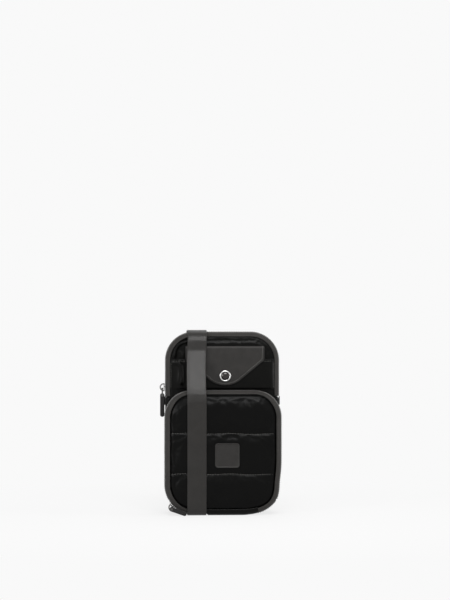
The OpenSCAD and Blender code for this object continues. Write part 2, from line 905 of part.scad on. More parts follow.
module pocket_puller_link() {
    mid_y = row_mid_f - pocket_zip_f;
    rear = bridge_t / 2 + split_gap + arm_t;
    front = mid_y - tab_y + tab_t / 2 + arm_t;
    color(metal) at_pocket_pin(mid_y) rotate([90, 0, 0]) {
        translate([0, 0, -rear]) cylinder(h = rear + front, r = pin_r);
        for (z = [-rear, front - arm_t, front - tab_t - 2 * arm_t]) translate([0, 0, z])
            cylinder(h = arm_t, r = 2 * pin_r);
    }
}

module pocket_pull_tab() {
    at_pocket_pin(tab_y) pull_tab(pocket_tab_l);
}

// The webbing strap, swept along its route with its width kept level across the bag
function unit(v) = v / norm(v);
function heading(i) = unit(route[min(i + 1, len(route) - 1)] - route[max(i - 1, 0)]);
function across(t) = unit([1, 0, 0] - t[0] * t);
// Corners of the webbing's section as shares of its width and thickness
section_shares = [[-0.5, -0.25], [-0.49, -0.5], [0.49, -0.5], [0.5, -0.25],
    [0.5, 0.25], [0.49, 0.5], [-0.49, 0.5], [-0.5, 0.25]];
function strap_ring(i) =
    let (t = heading(i), w = across(t), n = cross(t, w))
    [for (s = section_shares) route[i] + s[0] * strap_w * w + s[1] * strap_t * n];

// Least gap between the runs of the hank: over each other between two levels, or side by side
function run_gap(i, j) = let (d = route[j] - route[i])
    abs(d[2]) > strap_t / 2 ? abs(d[2]) - strap_t : abs(d[0] * heading(i)[1]) - strap_w;
hank_gap = min([for (i = [hank_part[0] : hank_part[1]], j = [i : hank_part[1]])
    if (j > i + 3 && route[i][1] == route[j][1] && abs(heading(i)[1]) > 2 * abs(heading(i)[2])) run_gap(i, j)]);
echo(least_gap_of_the_hank_to_itself_mm = hank_gap);

module strap_length(part) {
    count = len(section_shares);
    rings = part[1] - part[0] + 1;
    points = [for (i = [part[0] : part[1]]) each strap_ring(i)];
    last = (rings - 1) * count;
    sides = [for (i = [0 : rings - 2], k = [0 : count - 1])
        let (a = i * count + k, b = i * count + (k + 1) % count)
        each [[a, a + count, b], [b, a + count, b + count]]];
    start = [for (k = [1 : count - 2]) [0, k, k + 1]];
    end = [for (k = [1 : count - 2]) [last, last + k + 1, last + k]];
    color(matte) polyhedron(points, concat(sides, start, end));
}

module strap_left() {
    strap_length(left_part);
}

module strap_front() {
    strap_length(front_part);
}

module strap_under() {
    strap_length(under_part);
}

module strap_hank() {
    strap_length(hank_part);
}

module strap_right() {
    strap_length(right_part);
}

module strap_return() {
    strap_length(return_part);
}

// Three-bar adjuster: side rails, a middle bar between the two layers, and two bars outside them
module strap_adjuster() {
    rail = wire_r;
    x = strap_w / 2 + split_gap;
    bar_h = 2 * ring_h;
    outer_y = adjuster_y + 2 * strap_t + split_gap;
    color(metal) translate([strap_x, 0, adjuster_z]) {
        for (side = [-x - rail, x]) translate([side, adjuster_y - rail / 2, -bar_h / 2])
            cube([rail, outer_y - adjuster_y + rail, bar_h]);
        translate([-x - rail, adjuster_y, 0]) rotate([0, 90, 0])
            cylinder(h = 2 * (x + rail), r = adjuster_bar_r);
        for (z = [-bar_h / 2, bar_h / 2 - rail]) translate([-x - rail, outer_y, z])
            cube([2 * (x + rail), rail / 2, rail]);
    }
}

main_front_panel();
main_tape_front();
main_teeth_front();
main_gusset_lower();
zip_end_left();
zip_end_right();
back_panel_lower();
back_piping_lower();
lining_front();
lining_back_lower();
inner_slip_pocket();
slip_pocket_panel();
flap_anchor();
snap_stud();
pocket_gusset();
pocket_tape_rear();
pocket_teeth_rear();
pocket_teeth_low();
pocket_sill();
pocket_lining_rear();
back_panel_upper();
main_gusset_rear();
main_tape_rear();
main_teeth_rear();
back_piping_upper();
lining_back_upper();
ring_tab_left();
ring_tab_right();
ring_left();
ring_right();
pocket_door_panel();
pocket_tape_front();
pocket_teeth_front();
pocket_lining_front();
badge();
flap();
flap_lining();
snap_socket();
snap_cap();
main_slider();
main_puller_link();
main_pull_tab();
pocket_slider();
pocket_puller_link();
pocket_pull_tab();
strap_left();
strap_front();
strap_under();
strap_hank();
strap_right();
strap_return();
strap_adjuster();
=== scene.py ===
import math

import bmesh
import bpy
from mathutils import Matrix, Vector, noise


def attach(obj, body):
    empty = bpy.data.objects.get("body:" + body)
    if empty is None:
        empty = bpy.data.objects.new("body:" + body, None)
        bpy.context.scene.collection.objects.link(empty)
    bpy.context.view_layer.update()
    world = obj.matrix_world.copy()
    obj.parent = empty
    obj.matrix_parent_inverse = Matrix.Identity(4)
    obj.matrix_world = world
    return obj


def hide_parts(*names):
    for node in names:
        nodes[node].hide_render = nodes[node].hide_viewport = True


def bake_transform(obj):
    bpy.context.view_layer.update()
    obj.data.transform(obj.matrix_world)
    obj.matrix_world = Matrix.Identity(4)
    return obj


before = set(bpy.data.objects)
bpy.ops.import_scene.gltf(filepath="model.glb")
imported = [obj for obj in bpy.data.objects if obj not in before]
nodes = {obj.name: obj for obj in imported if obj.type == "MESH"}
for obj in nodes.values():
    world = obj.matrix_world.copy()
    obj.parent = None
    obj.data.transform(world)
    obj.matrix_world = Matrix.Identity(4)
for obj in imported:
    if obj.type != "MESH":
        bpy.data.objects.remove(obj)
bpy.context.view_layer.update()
scene = bpy.context.scene

# Camera
# It stands before the pouch, a little to the left of its middle and level with its top. It looks
# at AIM, and its picture takes in PICTURE_HEIGHT at the pouch's distance.
AIM = Vector((0.0028, 0, 0.2246))
TURN = math.radians(-2.75)
CAMERA_HEIGHT = 0.19
DISTANCE = 1.8
PICTURE_HEIGHT = 0.633
camera_data = bpy.data.cameras.new("camera")
camera_data.lens = camera_data.sensor_width * DISTANCE / PICTURE_HEIGHT
camera = bpy.data.objects.new("camera", camera_data)
camera.location = (math.sin(TURN) * DISTANCE, -math.cos(TURN) * DISTANCE, CAMERA_HEIGHT)
camera.rotation_euler = (AIM - camera.location).to_track_quat("-Z", "Y").to_euler()
scene.collection.objects.link(camera)
scene.camera = camera


# Webbing strap
# 20 mm ribbed webbing, one length of it. It is sewn through the left ring, comes over the top and
# down the front, passes under the base, lies folded to and fro behind the pouch, and goes up the
# back through the right ring and down again to its adjuster.
ROUTE = [
    (-0.0276, 0.0245, 0.176), (-0.0276, 0.0245, 0.168), (-0.0276, 0.0246, 0.158),
    (-0.0276, 0.0246, 0.152), (-0.0276, 0.0253, 0.1504), (-0.0276, 0.0269, 0.1497),
    (-0.0276, 0.0285, 0.1504), (-0.0276, 0.0292, 0.152), (-0.0276, 0.0287, 0.157),
    (-0.0276, 0.0267, 0.164), (-0.0276, 0.0262, 0.172), (-0.0275, 0.0262, 0.182),
    (-0.0274, 0.0258, 0.188), (-0.0273, 0.0244, 0.1912), (-0.0272, 0.0216, 0.1924),
    (-0.0268, 0.012, 0.1924), (-0.0265, 0.003, 0.1924), (-0.0265, -0.0006, 0.1915),
    (-0.0265, -0.0034, 0.1896), (-0.0266, -0.0059, 0.1864), (-0.0268, -0.0076, 0.1824),
    (-0.027, -0.0081, 0.178), (-0.0274, -0.0088, 0.171), (-0.0281, -0.0154, 0.154),
    (-0.0281, -0.0212, 0.14), (-0.028, -0.0244, 0.132), (-0.0278, -0.0262, 0.126),
    (-0.0276, -0.0274, 0.118), (-0.0276, -0.0272, 0.09), (-0.0276, -0.0262, 0.06),
    (-0.0276, -0.0258, 0.03), (-0.0276, -0.0258, 0.012), (-0.0276, -0.0256, 0.006),
    (-0.0276, -0.0244, 0.0028), (-0.0276, -0.0226, 0.0012), (-0.0276, -0.0204, 0.0008),
    (-0.0276, -0.01, 0.0008), (-0.0276, 0.005, 0.0008), (-0.0276, 0.02, 0.0008),
    (-0.0276, 0.027, 0.0008), (-0.0241, 0.06, 0.0008), (-0.0206, 0.094, 0.0008),
    (-0.0172, 0.126, 0.0008), (-0.0172, 0.1267, 0.0011), (-0.0172, 0.127, 0.0017),
    (-0.0172, 0.1267, 0.0023), (-0.0172, 0.126, 0.0026), (-0.0136, 0.094, 0.0026),
    (-0.0098, 0.06, 0.0026), (-0.0065, 0.03, 0.0026), (-0.0065, 0.0293, 0.0023),
    (-0.0065, 0.029, 0.0017), (-0.0065, 0.0293, 0.0011), (-0.0065, 0.03, 0.0008),
    (-0.0033, 0.06, 0.0008), (0.0002, 0.094, 0.0008), (0.0036, 0.126, 0.0008),
    (0.0036, 0.1267, 0.0011), (0.0036, 0.127, 0.0017), (0.0036, 0.1267, 0.0023),
    (0.0036, 0.126, 0.0026), (0.0072, 0.094, 0.0026), (0.011, 0.06, 0.0026),
    (0.0143, 0.03, 0.0026), (0.0143, 0.0293, 0.0023), (0.0143, 0.029, 0.0017),
    (0.0143, 0.0293, 0.0011), (0.0143, 0.03, 0.0008), (0.0175, 0.06, 0.0008),
    (0.021, 0.094, 0.0008), (0.0244, 0.126, 0.0008), (0.0244, 0.1267, 0.0011),
    (0.0244, 0.127, 0.0017), (0.0244, 0.1267, 0.0023), (0.0244, 0.126, 0.0026),
    (0.028, 0.094, 0.0026), (0.0318, 0.06, 0.0026), (0.0348, 0.033, 0.0026),
    (0.0349, 0.0288, 0.004), (0.0347, 0.0263, 0.0078), (0.0342, 0.025, 0.014),
    (0.0314, 0.0249, 0.034), (0.0286, 0.0249, 0.054), (0.0276, 0.0249, 0.066),
    (0.0276, 0.0249, 0.11), (0.0276, 0.0249, 0.122), (0.0276, 0.0249, 0.128),
    (0.0276, 0.0256, 0.1296), (0.0276, 0.0272, 0.1303), (0.0276, 0.0288, 0.1296),
    (0.0276, 0.0295, 0.128), (0.0276, 0.0292, 0.122), (0.0276, 0.028, 0.11),
    (0.0276, 0.0276, 0.09), (0.0276, 0.0276, 0.073)]
STRAP_WIDTH = 0.02
STRAP_THICKNESS = 0.0013
STRAP_STEP = 0.0008


def evenly(points, step):
    """Points and headings at even steps along a finely cut path."""
    marks = [0.0]
    for a, b in zip(points, points[1:]):
        marks.append(marks[-1] + (b - a).length)
    count = round(marks[-1] / step)
    places, k = [], 0
    for i in range(count + 1):
        distance = marks[-1] * i / count
        while k < len(marks) - 2 and marks[k + 1] < distance:
            k += 1
        share = min(1, (distance - marks[k]) / max(marks[k + 1] - marks[k], 1e-9))
        places.append((points[k].lerp(points[k + 1], share), (points[k + 1] - points[k]).normalized()))
    return places


route_marks = [0.0]
for a, b in zip(ROUTE, ROUTE[1:]):
    route_marks.append(route_marks[-1] + math.dist(a, b))
middle = [place for place, heading in evenly([Vector(point) for point in ROUTE], STRAP_STEP)]
strap_count = len(middle) - 1
SMOOTHING_PASSES = 3
for _ in range(SMOOTHING_PASSES):
    middle = [middle[0]] + [
        middle[i] * 0.5 + (middle[i - 1] + middle[i + 1]) * 0.25 for i in range(1, strap_count)
    ] + [middle[-1]]


def bare_material(name, roughness):
    """A new material with the place on its piece at hand, its node tree and its shader."""
    material = bpy.data.materials.new(name)
    material.use_nodes = True
    tree = material.node_tree
    tree.nodes.new("ShaderNodeTexCoord")
    shader = tree.nodes["Principled BSDF"]
    shader.inputs["Roughness"].default_value = roughness
    return material, tree, shader


def place_texture(tree, texture, scale, detail=None):
    """Sets a texture's size and lays it on the piece's own place."""
    texture.inputs["Scale"].default_value = scale
    if detail is not None:
        texture.inputs["Detail"].default_value = detail
    tree.links.new(tree.nodes["Texture Coordinate"].outputs["Object"], texture.inputs["Vector"])


def shade(tree, colour, value, positions, shares):
    """Colours a material in two shades of a colour, from darker to lighter as a value grows."""
    ramp = tree.nodes.new("ShaderNodeValToRGB")
    for element, position, share in zip(ramp.color_ramp.elements, positions, shares):
        element.position = position
        element.color = [channel * share for channel in colour] + [1]
    tree.links.new(value, ramp.inputs["Fac"])
    tree.links.new(ramp.outputs["Color"], tree.nodes["Principled BSDF"].inputs["Base Color"])


def raise_by(tree, height, distance, strength):
    """Lays one more relief over those that a material has."""
    normal = tree.nodes["Principled BSDF"].inputs["Normal"]
    bump = tree.nodes.new("ShaderNodeBump")
    bump.inputs["Distance"].default_value = distance
    bump.inputs["Strength"].default_value = strength
    tree.links.new(height, bump.inputs["Height"])
    if normal.is_linked:
        tree.links.new(normal.links[0].from_socket, bump.inputs["Normal"])
    tree.links.new(bump.outputs["Normal"], normal)


def fabric(name, colour, roughness, thread_scale, thread_depth, specular, sheen=0.0):
    """Woven cloth: fine threads both ways, uneven dye and a little fuzz."""
    material, tree, shader = bare_material(name, roughness)
    shader.inputs["Specular IOR Level"].default_value = specular
    shader.inputs["Sheen Weight"].default_value = sheen
    threads = tree.nodes.new("ShaderNodeTexVoronoi")
    threads.feature = "F1"
    threads.distance = "CHEBYCHEV"
    threads.inputs["Randomness"].default_value = 0.12
    place_texture(tree, threads, thread_scale)
    dye = tree.nodes.new("ShaderNodeTexNoise")
    place_texture(tree, dye, 90, 4)
    shade(tree, colour, dye.outputs["Fac"], (0.3, 0.7), (0.88, 1.12))
    raise_by(tree, threads.outputs["Distance"], thread_depth, 0.7)
    return material


RIB_PITCH = 0.0011
YARN_PITCH = 0.0008
RIB_DEPTH = 0.00003
webbing = fabric("ribbed_webbing", (0.0145, 0.0133, 0.0122), roughness=0.29, thread_scale=1700,
                 thread_depth=0.00002, specular=0.27)
tree = webbing.node_tree
weave_place = tree.nodes.new("ShaderNodeUVMap")
weave_place.uv_map = "webbing"
split = tree.nodes.new("ShaderNodeSeparateXYZ")
tree.links.new(weave_place.outputs["UV"], split.inputs["Vector"])
ribs = tree.nodes.new("ShaderNodeMath")
for socket, pitch, slot in (("Y", RIB_PITCH, 0), ("X", YARN_PITCH, 1)):
    turns = tree.nodes.new("ShaderNodeMath")
    turns.operation = "MULTIPLY"
    turns.inputs[1].default_value = 2 * math.pi / pitch
    tree.links.new(split.outputs[socket], turns.inputs[0])
    wave = tree.nodes.new("ShaderNodeMath")
    wave.operation = "SINE"
    tree.links.new(turns.outputs[0], wave.inputs[0])
    tree.links.new(wave.outputs[0], ribs.inputs[slot])
raise_by(tree, ribs.outputs[0], RIB_DEPTH, 0.7)


def finished(name, bm, material):
    """Makes a bmesh a smooth piece at the origin, with its flat ends left flat."""
    for face in bm.faces:
        face.smooth = len(face.verts) < 5
        for edge in face.edges:
            edge.smooth = edge.smooth and face.smooth
    mesh = bpy.data.meshes.new(name)
    bm.to_mesh(mesh)
    bm.free()
    mesh.materials.append(material)
    piece = bpy.data.objects.new(name, mesh)
    scene.collection.objects.link(piece)
    return piece


edge_turns = [math.radians(angle) for angle in (30, 60, 90, 120, 150)]
edge_radius = STRAP_THICKNESS / 2
half_flat = STRAP_WIDTH / 2 - edge_radius
half_section = [(x * half_flat, edge_radius) for x in (-1, -0.5, 0, 0.5, 1)] + [
    (half_flat + edge_radius * math.sin(turn), edge_radius * math.cos(turn)) for turn in edge_turns]
strap_section = half_section + [(-x, -h) for x, h in half_section]


def mark(place):
    """Step of the strap's middle at a place on its route: a point's number and a share to the next."""
    k = min(int(place), len(ROUTE) - 2)
    distance = route_marks[k] + (place - k) * (route_marks[k + 1] - route_marks[k])
    return round(distance / route_marks[-1] * strap_count)


def strap_piece(name, first, last):
    """The webbing between two places on its route, a grid rolled into its section and bent along it."""
    low, high = mark(first), mark(last)
    around = len(strap_section)
    bm = bmesh.new()
    bmesh.ops.create_grid(bm, x_segments=around, y_segments=high - low, size=0.5)
    layer = bm.loops.layers.uv.new("webbing")
    for vertex in bm.verts:
        column = round((vertex.co.x + 0.5) * around)
        i = low + round((vertex.co.y + 0.5) * (high - low))
        heading = (middle[min(i + 1, strap_count)] - middle[max(i - 1, 0)]).normalized()
        across = (Vector((1, 0, 0)) - heading * heading.x).normalized()
        x, height = strap_section[column % around]
        vertex.co = middle[i] + across * x + across.cross(heading) * height
        for loop in vertex.link_loops:
            loop[layer].uv = (x, i * STRAP_STEP)
    bmesh.ops.remove_doubles(bm, verts=bm.verts, dist=0.00002)
    bmesh.ops.holes_fill(bm, edges=bm.edges, sides=0)
    bmesh.ops.recalc_face_normals(bm, faces=bm.faces)
    piece = finished(name, bm, webbing)
    return piece, middle[low:high + 1]


# Places on the route where one stretch of the webbing ends and the next starts. Each piece below runs
# between the two heights, or the two depths over the top, at which the webbing bends.
LEFT_RING = 9
TOP_EDGE = 19
ON_FLAP = 22.36
POCKET_TOP = 23.57
DOOR_TOP = 25
BEHIND = 39
BACK_FOOT = 77
RIGHT_RING = 85
RETURN = 91
FREE_END = 94
ring_end_left, _ = strap_piece("strap_ring_end_left", 0, LEFT_RING)
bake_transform(ring_end_left)
over_top, _ = strap_piece("strap_over_top", LEFT_RING, TOP_EDGE)
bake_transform(over_top)
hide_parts("strap_left")
on_flap, _ = strap_piece("strap_on_flap", TOP_EDGE, ON_FLAP)
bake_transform(on_flap)
below_flap, _ = strap_piece("strap_below_flap", ON_FLAP, POCKET_TOP)
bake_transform(below_flap)
above_door, _ = strap_piece("strap_above_door", POCKET_TOP, DOOR_TOP)
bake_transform(above_door)
down_front, down_front_path = strap_piece("strap_down_front", DOOR_TOP, BEHIND)
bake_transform(down_front)
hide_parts("strap_front", "strap_under")
folds, folds_path = strap_piece("strap_folds", BEHIND, BACK_FOOT)
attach(folds, "body")
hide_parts("strap_hank")
up_back, up_back_path = strap_piece("strap_up_back", BACK_FOOT, RIGHT_RING)
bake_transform(up_back)
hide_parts("strap_right")
ring_end_right, _ = strap_piece("strap_ring_end_right", RIGHT_RING, RETURN)
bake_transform(ring_end_right)
return_end, _ = strap_piece("strap_return_end", RETURN, FREE_END)
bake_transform(return_end)
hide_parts("strap_return")


# Strap adjuster, rings and their sleeves
# Bent and cast metal with a dark satin finish. The two rings hang in webbing sleeves that are sewn
# to the upper back, and the adjuster joins the strap's two layers.
def metal(name, colour, roughness):
    """Plated metal with a slightly uneven polish."""
    material, tree, shader = bare_material(name, roughness)
    shader.inputs["Metallic"].default_value = 1
    polish = tree.nodes.new("ShaderNodeTexNoise")
    place_texture(tree, polish, 450, 6)
    shade(tree, colour, polish.outputs["Fac"], (0, 1), (0.82, 1.05))
    rough = tree.nodes.new("ShaderNodeMapRange")
    rough.inputs["To Min"].default_value = roughness * 0.7
    rough.inputs["To Max"].default_value = roughness * 1.3
    tree.links.new(polish.outputs["Fac"], rough.inputs["Value"])
    tree.links.new(rough.outputs["Result"], shader.inputs["Roughness"])
    raise_by(tree, polish.outputs["Fac"], 0.00001, 0.4)
    return material


gunmetal = metal("satin_gunmetal", (0.16, 0.157, 0.15), roughness=0.3)


def dress(material, *names):
    """Gives CAD nodes whose shape is right their material."""
    for name in names:
        data = nodes[name].data
        data.materials.clear()
        data.materials.append(material)


dress(gunmetal, "ring_left", "ring_right", "strap_adjuster")


def settle(piece):
    """Turns what a piece's modifiers make into its own smooth mesh."""
    bpy.context.view_layer.update()
    made = bpy.data.meshes.new_from_object(piece.evaluated_get(bpy.context.evaluated_depsgraph_get()))
    piece.modifiers.clear()
    old, piece.data = piece.data, made
    bpy.data.meshes.remove(old)
    for polygon in made.polygons:
        polygon.use_smooth = True


def even_cells(piece, cell, passes):
    """Gives a closed piece small even cells and rounds its edges a little."""
    cells = piece.modifiers.new("even_cells", "REMESH")
    cells.mode = "VOXEL"
    cells.voxel_size = cell
    rounding = piece.modifiers.new("rounding", "SMOOTH")
    rounding.factor = 0.5
    rounding.iterations = passes
    settle(piece)


CREASE_SIZE = 0.012


def soft_copy(name, material, source, cell, passes, crease=0.0):
    """A soft piece made from the CAD solid that it stands for: even cells, round edges, creases."""
    bm = bmesh.new()
    bm.from_mesh(nodes[source].data)
    bmesh.ops.remove_doubles(bm, verts=bm.verts, dist=0.00001)
    piece = finished(name, bm, material)
    even_cells(piece, cell, passes)
    if crease:
        for vertex in piece.data.vertices:
            place = vertex.co / CREASE_SIZE
            depth = noise.noise(place) + 0.5 * noise.noise(place * 2.3)
            vertex.co += vertex.normal * depth * crease
    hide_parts(source)
    return piece


sleeve_cloth = fabric("sleeve_webbing", (0.02, 0.0185, 0.0175), roughness=0.6, thread_scale=1500,
                      thread_depth=0.0001, specular=0.25)
for side in ("left", "right"):
    sleeve = soft_copy("ring_sleeve_" + side, sleeve_cloth, "ring_tab_" + side, cell=0.0004, passes=2)
    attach(sleeve, "mouth_back")


# Main compartment's padded walls
# Black coated nylon over thin foam. A front panel and a back panel are joined by a gusset, and a
# round piping is sewn in along the back edge.
MAIN_WIDTH = 0.12
MAIN_HEIGHT = 0.191
MAIN_LOW_RADIUS = 0.032
MAIN_TOP_RADIUS = 0.03
MAIN = (MAIN_WIDTH, MAIN_HEIGHT, MAIN_LOW_RADIUS, MAIN_TOP_RADIUS)
MAIN_FACE_Y = -0.0025
MAIN_BACK_Y = 0.0235
MAIN_EDGE = 0.0055
HINGE_Z = 0.123


def outline(width, height, low_radius, top_radius, step, inset=0.0):
    """Places on a compartment's round-cornered outline, from the middle of its base to the right."""
    half = width / 2
    corners = [(half - low_radius, low_radius, low_radius, -90),
               (half - top_radius, height - top_radius, top_radius, 0),
               (top_radius - half, height - top_radius, top_radius, 90),
               (low_radius - half, low_radius, low_radius, 180)]
    points = [Vector((0, inset))]
    for x, z, radius, start in corners:
        for degree in range(91):
            angle = math.radians(start + degree)
            points.append(Vector((x, z)) + (radius - inset) * Vector((math.cos(angle), math.sin(angle))))
    return evenly(points + [Vector((0, inset))], step)


def inside(point, width, height, low_radius, top_radius):
    """How far a point lies inside such an outline."""
    low = point.z < height / 2
    radius = low_radius if low else top_radius
    across = abs(point.x) - (width / 2 - radius)
    beyond = low_radius - point.z if low else point.z - (height - top_radius)
    if across > 0 and beyond > 0:
        return radius - math.hypot(across, beyond)
    return min(width / 2 - abs(point.x), point.z, height - point.z)


def ramp_up(value, low, high):
    """Runs smoothly from 0 at low to 1 at high."""
    share = min(1, max(0, (value - low) / (high - low)))
    return share * share * (3 - 2 * share)


def padded_nylon(name, colour, roughness, crease_strength):
    """Coated nylon: fine weave, soft creases and a dull shine."""
    material = fabric(name, colour, roughness, thread_scale=2600, thread_depth=0.00003, specular=0.075)
    tree = material.node_tree
    creases = tree.nodes.new("ShaderNodeTexNoise")
    creases.inputs["Distortion"].default_value = 0.8
    place_texture(tree, creases, 70, 5)
    raise_by(tree, creases.outputs["Fac"], 0.001, crease_strength)
    return material


creased_nylon = padded_nylon("creased_nylon", (0.0026, 0.0026, 0.0023), roughness=0.3,
                             crease_strength=0.45)


def padded_sheet(name, material, places, front_y, back_y, cell):
    """A flat padded panel cut to an outline, with even cells, ready to be pumped up."""
    bm = bmesh.new()
    ring = [bm.verts.new((point.x, back_y, point.y)) for point, heading in places[:-1]]
    face = bmesh.ops.contextual_create(bm, geom=ring)["faces"]
    made = bmesh.ops.extrude_face_region(bm, geom=face)["geom"]
    moved = [part for part in made if isinstance(part, bmesh.types.BMVert)]
    bmesh.ops.translate(bm, verts=moved, vec=(0, front_y - back_y, 0))
    bmesh.ops.recalc_face_normals(bm, faces=bm.faces)
    piece = finished(name, bm, material)
    even_cells(piece, cell, 1)
    return piece


PADDING_PRESSURE = 6
SPARE_CLOTH = 0.012
PUMPING_STEPS = 20


def inflate(piece, held, limit):
    """Pumps padding up by a cloth simulation. held(point) is 0 where it is free and 1 where sewn down."""
    start = [vertex.co.copy() for vertex in piece.data.vertices]
    group = piece.vertex_groups.new(name="held")
    for vertex in piece.data.vertices:
        group.add([vertex.index], held(vertex.co), "REPLACE")
    cloth = piece.modifiers.new("padding", "CLOTH")
    cloth.settings.quality = 4
    cloth.settings.use_pressure = True
    cloth.settings.uniform_pressure_force = PADDING_PRESSURE
    cloth.settings.effector_weights.gravity = 0
    cloth.settings.vertex_group_mass = "held"
    cloth.settings.shrink_min = -SPARE_CLOTH
    cloth.collision_settings.use_collision = False
    for step in range(1, PUMPING_STEPS + 1):
        scene.frame_set(step)
    settle(piece)
    for vertex, place in zip(piece.data.vertices, start):
        moved = vertex.co - place
        if moved.length > limit:
            vertex.co = place + moved * (limit / moved.length)
    scene.frame_set(1)
    finer = piece.modifiers.new("finer", "SUBSURF")
    finer.levels = 1
    finer.render_levels = 1
    settle(piece)


def ridge(point, path, width):
    """How close a point comes to a fold that runs along a path of x and z: 1 on it, 0 away from it."""
    nearest = 1.0
    for a, b in zip(path, path[1:]):
        a, b = Vector(a), Vector(b)
        flat = Vector((point.x, point.z)) - a
        share = min(1, max(0, flat.dot(b - a) / (b - a).length_squared))
        nearest = min(nearest, (flat - (b - a) * share).length)
    return math.exp(-(nearest / width) ** 2)


def main_inside(point):
    """How far a point lies inside the main compartment's outline."""
    return inside(point, *MAIN)


CUT_STEP = 0.001
PANEL_THICKNESS = 0.0028
PANEL_CELL = 0.0016
SEWN_BEHIND = 0.001
front_panel = padded_sheet("front_panel", creased_nylon, outline(*MAIN, CUT_STEP, inset=0.0046),
                           MAIN_FACE_Y, MAIN_FACE_Y + PANEL_THICKNESS, PANEL_CELL)
FLAP_X = 0.0025
ANCHOR_HALF_WIDTH = 0.043
ANCHOR_TOP_Z = 0.1795
SLIP_MOUTH_Z = 0.1635
FRONT_SEAM = 0.0075


def front_held(point):
    """The front panel is free to swell only above its slip pocket and beside the flap."""
    under_flap = abs(point.x - FLAP_X) < ANCHOR_HALF_WIDTH and point.z < ANCHOR_TOP_Z
    behind = point.y > MAIN_FACE_Y + SEWN_BEHIND
    sewn = main_inside(point) < FRONT_SEAM or behind or point.z < SLIP_MOUTH_Z
    return 1.0 if sewn or under_flap else 0.0


# The swollen cloth dips into a shallow ditch along the zip, whose foot wanders. A fold runs round
# the upper left corner, with small wrinkles beside it.
inflate(front_panel, front_held, limit=0.0014)
WANDER_SIZE = 0.017
WRINKLE_SIZE = 0.006
FOLD_RISE = 0.0026
FOLD_WIDTH = 0.0019
corner_fold = [(-0.0507, 0.166), (-0.0497, 0.1722), (-0.0468, 0.1768), (-0.0425, 0.1795), (-0.036, 0.1815)]
for vertex in front_panel.data.vertices:
    point = vertex.co
    if point.y < MAIN_FACE_Y + SEWN_BEHIND:
        ditch = 0.0003 + 0.0009 * ramp_up(point.z, 0.172, 0.184)
        foot = 0.0086 + 0.0008 * noise.noise(point / WANDER_SIZE)
        point.y += ditch * (1 - ramp_up(main_inside(point), foot, foot + 0.004))
        if point.z > 0.163:
            at_left = ramp_up(-point.x, 0.03, 0.045)
            point.y -= FOLD_RISE * ridge(point, corner_fold, FOLD_WIDTH)
            point.y -= 0.0006 * at_left * noise.noise(point / WRINKLE_SIZE)
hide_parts("main_front_panel")
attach(front_panel, "body")

BACK_THICKNESS = 0.003
BACK_CELL = 0.0022
BACK_SEAM = 0.006
STRAP_X = 0.0276
STRAP_STRIP = 0.0125
back_panel = padded_sheet("back_panel", creased_nylon, outline(*MAIN, CUT_STEP, inset=0.0028),
                          MAIN_BACK_Y - BACK_THICKNESS, MAIN_BACK_Y, BACK_CELL)


def back_held(point):
    """The back panel swells between its piping and the strips that the strap lies on."""
    strap = abs(abs(point.x) - STRAP_X) < STRAP_STRIP
    sewn = main_inside(point) < BACK_SEAM or point.y < MAIN_BACK_Y - SEWN_BEHIND
    return 1.0 if sewn or strap else 0.0


inflate(back_panel, back_held, limit=0.0016)
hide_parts("back_panel_lower", "back_panel_upper")
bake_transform(back_panel)

for name, source, body in (("gusset_lower", "main_gusset_lower", "body"),
                           ("gusset_rear", "main_gusset_rear", "mouth_back")):
    gusset = soft_copy(name, creased_nylon, source, cell=0.0014, passes=3, crease=0.0003)
    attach(gusset, body)

binding = fabric("ribbed_tape", (0.0265, 0.0248, 0.0232), roughness=0.7, thread_scale=1900,
                 thread_depth=0.00008, specular=0.15, sheen=0.03)
dress(binding, "back_piping_lower", "back_piping_upper")
lining = fabric("lining_cloth", (0.006, 0.006, 0.006), roughness=0.75, thread_scale=2200,
                thread_depth=0.00004, specular=0.1)
dress(lining, "lining_front", "lining_back_lower", "lining_back_upper", "inner_slip_pocket",
      "pocket_lining_rear", "pocket_lining_front", "flap_lining")


# Main zip
# Grey tapes folded round the front edge and round the rear half's edge, with a row of metal teeth
# clamped to each. It runs over the top from one side to the other and ends at two sewn tabs.
TOOTH_PITCH = 0.0019


def part_of(path, test, step):
    """The stretch of a closed path whose points pass a test, at even steps."""
    points = [point for point, heading in path[:-1]]
    start = next(i for i in range(len(points)) if test(points[i]) and not test(points[i - 1]))
    turned = points[start:] + points[:start]
    stop = next(i for i in range(len(turned)) if not test(turned[i]))
    return evenly(turned[:stop], step)


def stand_at(place):
    """Outwards, depth and heading as the axes of a frame that stands on an outline."""
    point, heading = place
    stand = Matrix(((heading.y, 0, heading.x), (0, 1, 0), (-heading.x, 0, heading.y))).to_4x4()
    stand.translation = (point.x, 0, point.y)
    return stand


def swept(name, material, path, section):
    """A closed section, each point its inset and its depth, extruded along an outline."""
    bm = bmesh.new()
    stand = stand_at(path[0])
    ring = [bm.verts.new(stand @ Vector((-inset, y, 0))) for inset, y in section]
    edges = [bm.edges.new((ring[i - 1], ring[i])) for i in range(len(ring))]
    for place in path[1:]:
        made = bmesh.ops.extrude_edge_only(bm, edges=edges)["geom"]
        verts = {part for part in made if isinstance(part, bmesh.types.BMVert)}
        edges = [part for part in made
                 if isinstance(part, bmesh.types.BMEdge) and verts.issuperset(part.verts)]
        bmesh.ops.transform(bm, matrix=stand_at(place) @ stand.inverted(), verts=list(verts))
        stand = stand_at(place)
    bmesh.ops.holes_fill(bm, edges=bm.edges, sides=0)
    bmesh.ops.recalc_face_normals(bm, faces=bm.faces)
    return finished(name, bm, material)


TAPE_OUTER = 0.0005
TAPE_INNER = 0.0016
BEND_STEPS = 9


